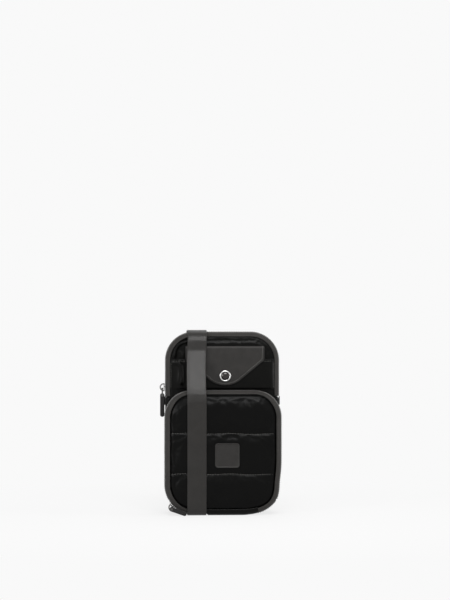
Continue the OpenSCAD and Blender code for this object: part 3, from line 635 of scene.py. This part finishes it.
def bent(radius, depth, face_y, stop):
    """The half of a tape's section that bends from the zip's side, at the outline, towards the face."""
    deeper = max(0, depth - TAPE_OUTER)
    turns = [math.radians(stop * i / BEND_STEPS) for i in range(BEND_STEPS + 1)]
    return [(radius - (radius - depth) * math.cos(turn),
             face_y + radius - (radius - deeper) * math.sin(turn)) for turn in turns]


def folded_tape(radius, face_y, stop):
    """Section of the front tape: bent round the edge, rolled at its free edge, holding the teeth."""
    outer = bent(radius, TAPE_OUTER, face_y, stop)
    inner = bent(radius, TAPE_INNER, face_y, stop)
    inset, y = outer[-1]
    rolled = [(inset + 0.0004, y + 0.0001), (inset + 0.0006, y + 0.0005), (inset + 0.0004, y + 0.001)]
    root_y = face_y + radius
    foot = [(0.0015, root_y + 0.0004), (0.0015, root_y + 0.0014), (0.001, root_y + 0.0014),
            (0.0009, root_y + 0.0004)]
    return outer + rolled + inner[::-1] + foot


def flat_tape(front_y):
    """Section of the rear tape, from under its teeth back to the gusset."""
    return [(0.0009, front_y), (0.0009, front_y + 0.0014), (0.0001, front_y + 0.0018),
            (0, front_y + 0.0034), (0, front_y + 0.0049), (0.0012, front_y + 0.0049), (0.0013, front_y)]


FINE_STEP = 0.0002
TAPE_STEP = 0.0015
MAIN_FOLD = 78
main_outline = outline(*MAIN, FINE_STEP)


def fit(piece, node, body):
    """Puts a piece in a CAD node's place, which it hides, and on its body."""
    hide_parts(node)
    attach(piece, body)


tape_path = part_of(main_outline, lambda point: point.y > HINGE_Z + 0.0003, TAPE_STEP)
main_front_tape = swept("main_front_tape", binding, tape_path,
                        folded_tape(MAIN_EDGE, MAIN_FACE_Y, MAIN_FOLD))
fit(main_front_tape, "main_tape_front", "body")
main_rear_tape = swept("main_rear_tape", binding, tape_path, flat_tape(0.0052))
fit(main_rear_tape, "main_tape_rear", "mouth_back")

tooth_metal = metal("zip_tooth_metal", (0.15, 0.147, 0.143), roughness=0.4)
TOOTH_HEIGHT = 0.0019
TOOTH_LENGTH = 0.001
TOOTH_BEVEL = 0.00022
FULL_REACH = 0.00047
SHORT_REACH = 0.0001


def full_reach(point):
    """How far the front row stands out of the outline."""
    return FULL_REACH


def short_reach(point):
    """The rear rows stand back a little, so that the rows show as dots."""
    return SHORT_REACH


def tooth_row(name, path, depths, offset, reach):
    """Zip teeth clamped along an outline, each a block with blunt edges between two depths."""
    bm = bmesh.new()
    for place in path:
        low, high = depths(place[0])
        tooth = bmesh.ops.create_cube(bm, size=1)["verts"]
        size = Matrix.Diagonal((TOOTH_HEIGHT, high - low, TOOTH_LENGTH, 1))
        middle_in = reach(place[0]) - TOOTH_HEIGHT / 2
        shift = Matrix.Translation((middle_in, (low + high) / 2, offset))
        bmesh.ops.transform(bm, matrix=stand_at(place) @ shift @ size, verts=tooth)
    bmesh.ops.bevel(bm, geom=bm.edges, offset=TOOTH_BEVEL, offset_type="OFFSET", segments=1, profile=0.5,
                    affect="EDGES", material=-1)
    return finished(name, bm, tooth_metal)


def main_slider_way(point):
    """Whether the main slider passes here."""
    return point.x < -0.05 and point.y < 0.162


ROW_DEPTH = 0.0018
OVERLAP = 0.00015
POST_GAP = 0.00035


def row_depths(middle_y, side, slider_way):
    """The depths of a row of teeth before a zip's middle, side -1, or behind it, side 1."""
    def depths(point):
        """Teeth reach over the middle, but stay apart where the slider's post runs."""
        inner = middle_y + side * (POST_GAP if slider_way(point) else -OVERLAP)
        outer = middle_y + side * ROW_DEPTH
        return min(inner, outer), max(inner, outer)
    return depths


MAIN_ZIP_Y = 0.0048
main_front_depths = row_depths(MAIN_ZIP_Y, -1, main_slider_way)
main_rear_depths = row_depths(MAIN_ZIP_Y, 1, main_slider_way)


def above_hinge(point):
    """Where the main zip has teeth and seams."""
    return point.y > HINGE_Z + 0.001


teeth_path = part_of(main_outline, above_hinge, TOOTH_PITCH)
main_front_teeth = tooth_row("main_front_teeth", teeth_path, main_front_depths, 0, full_reach)
fit(main_front_teeth, "main_teeth_front", "body")
half_pitch = TOOTH_PITCH / 2
main_rear_teeth = tooth_row("main_rear_teeth", teeth_path[:-1], main_rear_depths, half_pitch, short_reach)
fit(main_rear_teeth, "main_teeth_rear", "mouth_back")

thread = fabric("sewing_thread", (0.13, 0.127, 0.12), roughness=0.6, thread_scale=4000,
                thread_depth=0.00005, specular=0.3)
tape_thread = fabric("tape_sewing_thread", (0.042, 0.04, 0.038), roughness=0.6, thread_scale=4000,
                     thread_depth=0.00005, specular=0.3)
STITCH_STEP = 0.0026
CLOTH_SEARCH = 0.003


def stitches(name, places, cloth, body, length=0.0017, width=0.0004, material=thread):
    """A row of stitches on a cloth. Each place is a point, the way ahead there and the way out."""
    bm = bmesh.new()
    for point, ahead, out in places:
        ahead, out = ahead.normalized(), out.normalized()
        met, spot, _, _ = cloth.ray_cast(point + out * CLOTH_SEARCH, -out, distance=2 * CLOTH_SEARCH)
        stand = Matrix((out.cross(ahead), ahead, out)).transposed().to_4x4()
        stand.translation = spot if met else point
        size = Matrix.Diagonal((width, length, width * 0.8, 1))
        made = bmesh.ops.create_uvsphere(bm, u_segments=6, v_segments=5, radius=0.5)["verts"]
        bmesh.ops.transform(bm, matrix=stand @ size, verts=made)
    piece = finished(name, bm, material)
    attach(piece, body)
    return piece


def on_outline(path, inset, y, out):
    """Stitch places at an inset and a depth on a tape. out is outwards and depth."""
    places = []
    for place in path:
        stand = stand_at(place)
        turn = stand.to_3x3()
        ahead = turn @ Vector((0, 0, 1))
        places.append((stand @ Vector((-inset, y, 0)), ahead, turn @ Vector((*out, 0))))
    return places


seam_path = part_of(main_outline, above_hinge, STITCH_STEP)
SEAM_INSET = 0.0037
stitches("main_front_tape_seam", on_outline(seam_path, SEAM_INSET, y=-0.00215, out=(0.4, -1)),
         main_front_tape, "body", material=tape_thread)
stitches("main_rear_tape_seam", on_outline(seam_path, 0.0, y=0.0092, out=(1, 0)),
         main_rear_tape, "mouth_back", material=tape_thread)
for side in ("left", "right"):
    end = soft_copy("zip_end_tab_" + side, creased_nylon, "zip_end_" + side, cell=0.0003, passes=3)
    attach(end, "body")


# Slip pocket on the front
# A flat nylon pocket behind the flap, open at its hemmed top edge and sewn in at its sides. Its
# cloth folds where it isn't held down by the flap and the strap: it swells a little there, leans
# out at the left side, and lies level with the zip's tape along its edges.
HEM_Z = 0.1602
FRONT = Vector((0, -1, 0))
ACROSS = Vector((1, 0, 0))
UP = Vector((0, 0, 1))
HEM_DIP = 0.0004
HEM_WIDTH = 0.0005
SLIP_FACE_Y = -0.0036
SLIP_LOW_Z = 0.132
SLIP_HEIGHT = 0.027
SWELL = 0.0006
LOOSENESS = 0.0003
LEAN = 0.001
SIDE_FOLD_RISE = 0.0026
SIDE_FOLD_WIDTH = 0.0022
slip = soft_copy("slip_pocket_cloth", creased_nylon, "slip_pocket_panel", cell=0.0008, passes=2)
side_fold = [(-0.0515, 0.1588), (-0.0462, 0.1586), (-0.0432, 0.155), (-0.0421, 0.148), (-0.0432, 0.138)]
for vertex in slip.data.vertices:
    point = vertex.co
    if point.y < SLIP_FACE_Y:
        beside = ramp_up(abs(point.x - FLAP_X), 0.0425, 0.0465)
        loose = noise.noise(Vector((point.x / 0.011, 0, point.z / 0.016)))
        swell = math.sin(math.pi * min(1, max(0, (point.z - SLIP_LOW_Z) / SLIP_HEIGHT)))
        leaning = ramp_up(-point.x, 0.042, 0.054)
        point.y -= beside * (SWELL * swell + LOOSENESS * loose - LEAN * leaning)
        point.y -= beside * SIDE_FOLD_RISE * ridge(point, side_fold, SIDE_FOLD_WIDTH)
        point.y += HEM_DIP * math.exp(-((point.z - HEM_Z) / HEM_WIDTH) ** 2)
    level = 0.0165 if point.x < 0 else 0.0092
    point.y += (MAIN_FACE_Y - point.y) * 0.8 * (1 - ramp_up(main_inside(point), 0.0048, level))
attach(slip, "body")
hem = [(Vector((-0.051 + STITCH_STEP * k, -0.00475, HEM_Z)), ACROSS, FRONT) for k in range(40)]
stitches("slip_pocket_hem_seam", hem, slip, "body")
sewn = [(Vector((x, -0.0035, 0.1335 + STITCH_STEP * k)), UP, FRONT)
        for x in (-0.0542, 0.0542) for k in range(10)]
stitches("slip_pocket_side_seams", sewn, slip, "body")


# Leather flap
# Dark grey leather on a lining, sewn along its top to an anchor strip, with a row of fine stitches
# inside its painted edge. It is a round tip and two small corners with straight edges between.
FLAP_TOP = 0.1762
FLAP_LOW = 0.1346
FLAP_FACE_Y = -0.0068
FLAP_WIDTH = 0.083
FLAP_SIDE = 0.012
FLAP_CORNER = 0.006
FLAP_TIP = 0.026
TIP_STEPS = 40
CORNER_STEPS = 20


def leather_of(name, colour, grain, roughness):
    """Leather: rounded grain cells over soft folds, with painted shade that darkens the colour where the
    folds' relief is low.
    """
    material, tree, shader = bare_material(name, roughness)
    shader.inputs["Specular IOR Level"].default_value = 0.2
    cells = tree.nodes.new("ShaderNodeTexVoronoi")
    cells.feature = "DISTANCE_TO_EDGE"
    place_texture(tree, cells, grain)
    folds = tree.nodes.new("ShaderNodeTexNoise")
    place_texture(tree, folds, 120, 6)
    # Painted shade: the noise that raises the folds also colours their hollows darker.
    shade(tree, colour, folds.outputs["Fac"], (0.35, 0.7), (0.86, 1.12))
    raise_by(tree, folds.outputs["Fac"], 0.0004, 0.25)
    raise_by(tree, cells.outputs["Distance"], 0.0001, 0.5)
    return material


leather = leather_of("grey_leather", (0.0182, 0.017, 0.016), grain=1300, roughness=0.5)


def flap_edge(inset, step):
    """The flap's edge from its upper left corner round its lower end to its upper right corner."""
    corner = Vector((FLAP_WIDTH / 2 - FLAP_CORNER, FLAP_TOP - FLAP_SIDE))
    tip = Vector((0, FLAP_LOW + FLAP_TIP))
    between = corner - tip
    turn = math.atan2(between.y, between.x) - math.acos((FLAP_TIP - FLAP_CORNER) / between.length)
    points = []
    for k in range(TIP_STEPS + 1):
        angle = -math.pi / 2 + (turn + math.pi / 2) * k / TIP_STEPS
        points.append(tip + (FLAP_TIP - inset) * Vector((math.cos(angle), math.sin(angle))))
    for k in range(CORNER_STEPS + 1):
        angle = turn * (1 - k / CORNER_STEPS)
        points.append(corner + (FLAP_CORNER - inset) * Vector((math.cos(angle), math.sin(angle))))
    points.append(Vector((FLAP_WIDTH / 2 - inset, FLAP_TOP - 0.001)))
    points = [Vector((-point.x, point.y)) for point in reversed(points)] + points
    return evenly([Vector((FLAP_X, 0)) + point for point in points], step)


# The leather's top edge is turned back to its seam.
TURNED_BACK = 0.0009
flap = soft_copy("flap_leather", leather, "flap", cell=0.0006, passes=2)
for vertex in flap.data.vertices:
    vertex.co.y += TURNED_BACK * ramp_up(vertex.co.z, 0.1738, 0.1764)
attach(flap, "flap")
dress(leather, "flap_anchor")
FLAP_SEAM_INSET = 0.0022
FLAP_STITCH_STEP = 0.0021
flap_seam = [(Vector((point.x, FLAP_FACE_Y, point.y)), Vector((heading.x, 0, heading.y)), FRONT)
             for point, heading in flap_edge(FLAP_SEAM_INSET, FLAP_STITCH_STEP)]
stitches("flap_seam", flap_seam, flap, "flap", length=0.0014, width=0.0005)


# Snap fastener
# A pressed metal cap with a bright rolled ring round a dark dome. It is riveted through the flap to
# a socket, which closes on a stud riveted through the slip pocket.
SNAP_X = 0.0027
SNAP_Z = 0.1446
RING_RADIUS = 0.0051
BEAD_RADIUS = 0.0009
BEAD_RISE = 0.0007
DOME_RADIUS = 0.0043
DOME_RISE = 0.0019
nickel = metal("polished_nickel", (0.62, 0.62, 0.61), roughness=0.2)
dark_chrome = metal("dark_chrome", (0.05, 0.048, 0.046), roughness=0.16)
dress(nickel, "snap_stud", "snap_socket")


def spun(name, material, profile):
    """A turned piece from a profile of radius and height, standing forwards on the snap's axis."""
    bm = bmesh.new()
    ring = [bm.verts.new((radius, -height, 0)) for radius, height in profile]
    edges = [bm.edges.new(pair) for pair in zip(ring, ring[1:])]
    bmesh.ops.spin(bm, geom=ring + edges, cent=(0, 0, 0), axis=(0, 1, 0), angle=2 * math.pi, steps=64,
                   use_merge=True, use_duplicate=False)
    bmesh.ops.remove_doubles(bm, verts=bm.verts, dist=0.00001)
    bmesh.ops.translate(bm, verts=bm.verts, vec=(SNAP_X, FLAP_FACE_Y, SNAP_Z))
    bmesh.ops.recalc_face_normals(bm, faces=bm.faces)
    piece = finished(name, bm, material)
    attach(piece, "flap")
    return piece


bead = [(RING_RADIUS + BEAD_RADIUS * math.cos(turn), 0.00075 + BEAD_RISE * math.sin(turn))
        for turn in (math.radians(angle) for angle in range(-30, 181, 15))]
snap_ring = spun("snap_ring", nickel, [(0.0044, 0), (0.0058, 0)] + bead + [(0.0042, 0.0003)])
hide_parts("snap_cap")
dome = [(DOME_RADIUS * math.sin(turn), 0.0002 + DOME_RISE * math.cos(turn))
        for turn in (math.radians(angle) for angle in range(90, -1, -10))]
snap_dome = spun("snap_dome", dark_chrome, dome)


# Front pocket's walls
# Its gusset and fixed sill are the same padded nylon. The door is quilted in three channels and runs on
# into the sill, which is one cloth with it and bends where the door is folded down; here the sill is a
# band of its own, fixed to the body. POCKET is its outline's width, height, low radius and top radius.
POCKET = (0.122, 0.13, 0.032, 0.028)
POCKET_EDGE = 0.006
POCKET_FACE_Y = -0.0235
SEAMS = (0.043, 0.085)
SUNK_IN = 0.002
SUNK_UP = 0.0013


def sag(piece):
    """Draws the pocket's lower right corner in a little, where its padding has sunk."""
    for vertex in piece.data.vertices:
        point = vertex.co
        sunk = math.exp(-((point.z - 0.03) / 0.014) ** 2) * ramp_up(point.x, 0.03, 0.058)
        raised = ramp_up(point.x, 0.02, 0.036) * (1 - ramp_up(point.z, 0.004, 0.02))
        point.x -= SUNK_IN * sunk
        point.z += SUNK_UP * raised


# Its rear edge reaches over the main compartment's rounded edge, to which it is sewn.
SEWN_OVER = 0.0026
pocket_gusset = soft_copy("pocket_gusset_cloth", creased_nylon, "pocket_gusset", cell=0.0014,
                          passes=3, crease=0.00025)
for vertex in pocket_gusset.data.vertices:
    vertex.co.y += SEWN_OVER * ramp_up(vertex.co.y, -0.0055, -0.0027)
sag(pocket_gusset)
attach(pocket_gusset, "body")


def seam_height(x, z):
    """Height of a quilting seam at some x. Both wander a little and drop to the right."""
    return z - 0.0006 * (x / 0.05) + 0.0004 * math.sin(x * 150 + z * 300)


def pocket_inside(point):
    """How far a point lies inside the pocket's outline."""
    return inside(point, *POCKET)


smooth_nylon = padded_nylon("smooth_nylon", (0.0015, 0.0015, 0.0014), roughness=0.32,
                            crease_strength=0.05)
door = padded_sheet("pocket_door_cloth", smooth_nylon, outline(*POCKET, CUT_STEP, inset=0.0042),
                    POCKET_FACE_Y, POCKET_FACE_Y + PANEL_THICKNESS, PANEL_CELL)
DOOR_SEAM = 0.0082
QUILT_SEAM = 0.001


def door_held(point):
    """The door is sewn down along its edge and along its two quilting seams."""
    seam = min(abs(point.z - seam_height(point.x, z)) for z in SEAMS)
    back = point.y > POCKET_FACE_Y + SEWN_BEHIND
    return 1.0 if pocket_inside(point) < DOOR_SEAM or back or seam < QUILT_SEAM else 0.0


# The swollen cloth is drawn in and gathered along its seams, falls off towards the zip, waves a
# little, and lies flat behind the badge.
inflate(door, door_held, limit=0.0013)
SEAM_DEPTH = 0.0005
SEAM_WIDTH = 0.0009
GATHER_DEPTH = 0.00004
GATHER_WIDTH = 0.004
EDGE_DIP = 0.0007
SHOULDER = 0.0018
WAVE = 0.00025
BADGE_X = 0.004
BADGE_Z = 0.0625
BADGE_HALF = 0.01275
BADGE_BACK_Y = -0.0247
for vertex in door.data.vertices:
    point = vertex.co
    if point.y < POCKET_FACE_Y + 0.0006:
        for z in SEAMS:
            away = point.z - seam_height(point.x, z)
            gather = math.sin(point.x * 1150 + 3 * noise.noise(point * 90))
            point.y += SEAM_DEPTH * math.exp(-(away / SEAM_WIDTH) ** 2)
            point.y += GATHER_DEPTH * gather * math.exp(-(away / GATHER_WIDTH) ** 2)
        point.y += EDGE_DIP * (1 - ramp_up(pocket_inside(point), 0.0048, 0.0066))
        fall = 0.0034 + 0.0022 * ramp_up(point.x, -0.005, 0.03) * ramp_up(point.z, 0.08, 0.11)
        point.y += SHOULDER * math.exp(-max(0, pocket_inside(point) - 0.0064) / fall)
        point.y += WAVE * noise.noise(point / WANDER_SIZE)
        beside = max(abs(point.x - BADGE_X), abs(point.z - BADGE_Z)) - BADGE_HALF
        point.y += (BADGE_BACK_Y + 0.00003 - point.y) * (1 - ramp_up(beside, 0.0005, 0.006))
sag(door)
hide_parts("pocket_door_panel")
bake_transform(door)
for number, z in enumerate(SEAMS):
    seam = [(Vector((x, POCKET_FACE_Y + 0.00035, seam_height(x, z))), ACROSS, FRONT)
            for x in (-0.0525 + STITCH_STEP * k for k in range(41))]
    sag(stitches("quilt_seam_" + str(number + 1), seam, door, "pocket_door", length=0.0021))


# Front pocket's zip and sill
# The same tape and teeth. The zip starts under the base, runs up one side, over the door and down
# the other. Between its two ends a black nylon band closes the bottom edge.
BREAK_X = 0.041
POCKET_FOLD = 79
pocket_outline = outline(*POCKET, FINE_STEP)


def zipped(point):
    """Whether the zip runs here, and not the band between its ends."""
    return point.y > 0.001 or abs(point.x) > BREAK_X


zip_path = part_of(pocket_outline, zipped, TAPE_STEP)
pocket_front_tape = swept("pocket_front_tape", binding, zip_path,
                          folded_tape(POCKET_EDGE, POCKET_FACE_Y, POCKET_FOLD))
# Along the top the tape shows only half as wide, because the door leans over it.
for vertex in pocket_front_tape.data.vertices:
    beyond = max(0, pocket_inside(vertex.co) - 0.0025)
    vertex.co.z += 0.5 * beyond * ramp_up(vertex.co.z, 0.112, 0.124)
sag(pocket_front_tape)
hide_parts("pocket_tape_front")
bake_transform(pocket_front_tape)
pocket_rear_tape = swept("pocket_rear_tape", binding, zip_path, flat_tape(-0.0153))
sag(pocket_rear_tape)
fit(pocket_rear_tape, "pocket_tape_rear", "body")

BAND_REAR_Y = -0.0104
STRAP_TOP_Z = 0.00175
band_outer = bent(POCKET_EDGE, 0, POCKET_FACE_Y, POCKET_FOLD)
band_inner = bent(POCKET_EDGE, TAPE_INNER, POCKET_FACE_Y, POCKET_FOLD)
band_hem = [(0.0064, POCKET_FACE_Y + 0.0001), (0.0068, POCKET_FACE_Y + 0.0005),
            (0.0064, POCKET_FACE_Y + 0.0011)]
band_section = [(0, BAND_REAR_Y)] + band_outer + band_hem + band_inner[::-1] + [
    (0.003, POCKET_FACE_Y + POCKET_EDGE), (0.003, BAND_REAR_Y)]
band_path = part_of(pocket_outline, lambda point: not zipped(point), CUT_STEP)
sill_band = swept("sill_band", creased_nylon, band_path, band_section)
# The strap passes under the band and lifts it a little.
for vertex in sill_band.data.vertices:
    over_strap = 1 - ramp_up(abs(vertex.co.x + STRAP_X), 0.0105, 0.0115)
    vertex.co.z = max(vertex.co.z, STRAP_TOP_Z * over_strap)
sag(sill_band)
fit(sill_band, "pocket_sill", "body")


def pocket_slider_way(point):
    """Whether the pocket's slider passes here."""
    return point.x < -0.03 and point.y < 0.034


POCKET_ZIP_Y = -0.0157
pocket_front_depths = row_depths(POCKET_ZIP_Y, -1, pocket_slider_way)
pocket_rear_depths = row_depths(POCKET_ZIP_Y, 1, pocket_slider_way)


def pocket_front_reach(point):
    """Along the top the teeth stand back behind the tape's edge."""
    return FULL_REACH - 0.0008 * ramp_up(point.y, 0.125, 0.1296)


def pocket_rear_reach(point):
    """The rear row stands back as on the main zip, and no less than the front row."""
    return min(SHORT_REACH, pocket_front_reach(point))


tooth_places = part_of(pocket_outline, zipped, TOOTH_PITCH)
on_door = [place for place in tooth_places if place[0].y > 0.0156]
below_door = [place for place in tooth_places if place[0].y < 0.0144]
door_teeth = tooth_row("pocket_door_teeth", on_door, pocket_front_depths, 0, pocket_front_reach)
sag(door_teeth)
fit(door_teeth, "pocket_teeth_front", "pocket_door")
low_teeth = tooth_row("pocket_low_teeth", below_door, pocket_front_depths, 0, pocket_front_reach)
sag(low_teeth)
fit(low_teeth, "pocket_teeth_low", "body")
rear_teeth = tooth_row("pocket_rear_teeth", tooth_places[:-1], pocket_rear_depths, half_pitch,
                       pocket_rear_reach)
sag(rear_teeth)
fit(rear_teeth, "pocket_teeth_rear", "body")
pocket_seam_path = part_of(pocket_outline, zipped, STITCH_STEP)
door_seam_path = [place for place in pocket_seam_path if place[0].y > 0.016]
door_seam = stitches("pocket_front_tape_seam",
                     on_outline(door_seam_path, SEAM_INSET, y=-0.0228, out=(0.35, -1)),
                     pocket_front_tape, "pocket_door", material=tape_thread)
sag(door_seam)
rear_seam = stitches("pocket_rear_tape_seam", on_outline(pocket_seam_path, 0.0, y=-0.0113, out=(1, 0)),
                     pocket_rear_tape, "body", material=tape_thread)
sag(rear_seam)


# Leather badge
# A small square of the flap's leather with a raised rim, glued to the quilted door. Its face stays
# blank.
badge = soft_copy("badge_leather_square", leather, "badge", cell=0.00035, passes=1)
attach(badge, "pocket_door")


# Sliders and pull tabs
# Cast metal sliders with half-round bridges, clamped over the teeth. A pinned metal link with two
# end discs holds each slider's black leather tab.
slider_metal = metal("slider_nickel", (0.22, 0.216, 0.208), roughness=0.24)
dress(slider_metal, "main_slider", "pocket_slider")
link_metal = metal("link_nickel", (0.11, 0.108, 0.104), roughness=0.24)
dress(link_metal, "main_puller_link", "pocket_puller_link")
black_leather = leather_of("black_leather", (0.012, 0.0113, 0.0115), grain=1500, roughness=0.42)
for name in ("main_pull_tab", "pocket_pull_tab"):
    tab = soft_copy(name + "_leather", black_leather, name, cell=0.0003, passes=1)
    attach(tab, name.replace("pull_tab", "puller"))


# Floor, backdrop and light
# White paper, which the camera and reflections see as plain white. A big softbox stands above and
# before the pouch, with weaker ones above, behind and to the sides.
PAPER_WHITE = 0.947
ROOM_LIGHT = 0.4


def seen_directly(tree):
    """Is 1 for the camera's rays and for reflected and refracted ones."""
    rays = tree.nodes.new("ShaderNodeLightPath")
    share = rays.outputs["Is Camera Ray"]
    for kind in ("Is Glossy Ray", "Is Transmission Ray"):
        either = tree.nodes.new("ShaderNodeMath")
        either.operation = "MAXIMUM"
        tree.links.new(share, either.inputs[0])
        tree.links.new(rays.outputs[kind], either.inputs[1])
        share = either.outputs[0]
    return share


def white_paper(name):
    """White to the camera and to reflections, save near the pouch, where it also takes its shadow."""
    material, tree, shader = bare_material(name, 0.9)
    new, link = tree.nodes.new, tree.links.new
    shader.inputs["Base Color"].default_value = (0.9, 0.9, 0.9, 1)
    shader.inputs["Specular IOR Level"].default_value = 0.1
    glow = new("ShaderNodeEmission")
    glow.inputs["Color"].default_value = (1, 1, 1, 1)
    glow.inputs["Strength"].default_value = PAPER_WHITE
    distance = new("ShaderNodeVectorMath")
    distance.operation = "LENGTH"
    link(tree.nodes["Texture Coordinate"].outputs["Object"], distance.inputs[0])
    plain = new("ShaderNodeMapRange")
    plain.inputs["From Min"].default_value = 0.06
    plain.inputs["From Max"].default_value = 0.4
    plain.inputs["To Min"].default_value = 0.8
    plain.inputs["To Max"].default_value = 1
    link(distance.outputs["Value"], plain.inputs["Value"])
    share = new("ShaderNodeMath")
    share.operation = "MULTIPLY"
    link(seen_directly(tree), share.inputs[0])
    link(plain.outputs["Result"], share.inputs[1])
    mixed = new("ShaderNodeMixShader")
    link(share.outputs[0], mixed.inputs["Fac"])
    link(shader.outputs["BSDF"], mixed.inputs[1])
    link(glow.outputs["Emission"], mixed.inputs[2])
    link(mixed.outputs["Shader"], tree.nodes["Material Output"].inputs["Surface"])
    return material


bm = bmesh.new()
bmesh.ops.create_circle(bm, cap_ends=True, segments=96, radius=4)
floor = finished("floor", bm, white_paper("white_floor"))

world = bpy.data.worlds.new("studio")
scene.world = world
world.use_nodes = True
tree = world.node_tree
ambient = tree.nodes["Background"]
backdrop = tree.nodes.new("ShaderNodeBackground")
for light, strength in ((ambient, ROOM_LIGHT), (backdrop, PAPER_WHITE)):
    light.inputs["Color"].default_value = (1, 1, 1, 1)
    light.inputs["Strength"].default_value = strength
mixed = tree.nodes.new("ShaderNodeMixShader")
tree.links.new(seen_directly(tree), mixed.inputs["Fac"])
tree.links.new(ambient.outputs["Background"], mixed.inputs[1])
tree.links.new(backdrop.outputs["Background"], mixed.inputs[2])
tree.links.new(mixed.outputs["Shader"], tree.nodes["World Output"].inputs["Surface"])


def softbox(name, place, width, height, watts):
    """A flat light that faces the pouch's middle."""
    data = bpy.data.lights.new(name, "AREA")
    data.shape = "RECTANGLE"
    data.size = width
    data.size_y = height
    data.energy = watts
    light = bpy.data.objects.new(name, data)
    light.location = place
    light.rotation_euler = (Vector((0, 0, 0.09)) - light.location).to_track_quat("-Z", "Y").to_euler()
    scene.collection.objects.link(light)
    return light


key = softbox("key_softbox", (0.1, -1.2, 1.22), width=0.9, height=0.6, watts=17)
top = softbox("top_softbox", (0.15, 0.5, 1.4), width=0.9, height=0.7, watts=3.5)
right = softbox("right_softbox", (1.35, -0.3, 0.5), width=0.5, height=0.8, watts=6)
left = softbox("left_softbox", (-1.0, -0.95, 0.45), width=0.35, height=0.5, watts=6)
scene.view_settings.view_transform = "Standard"
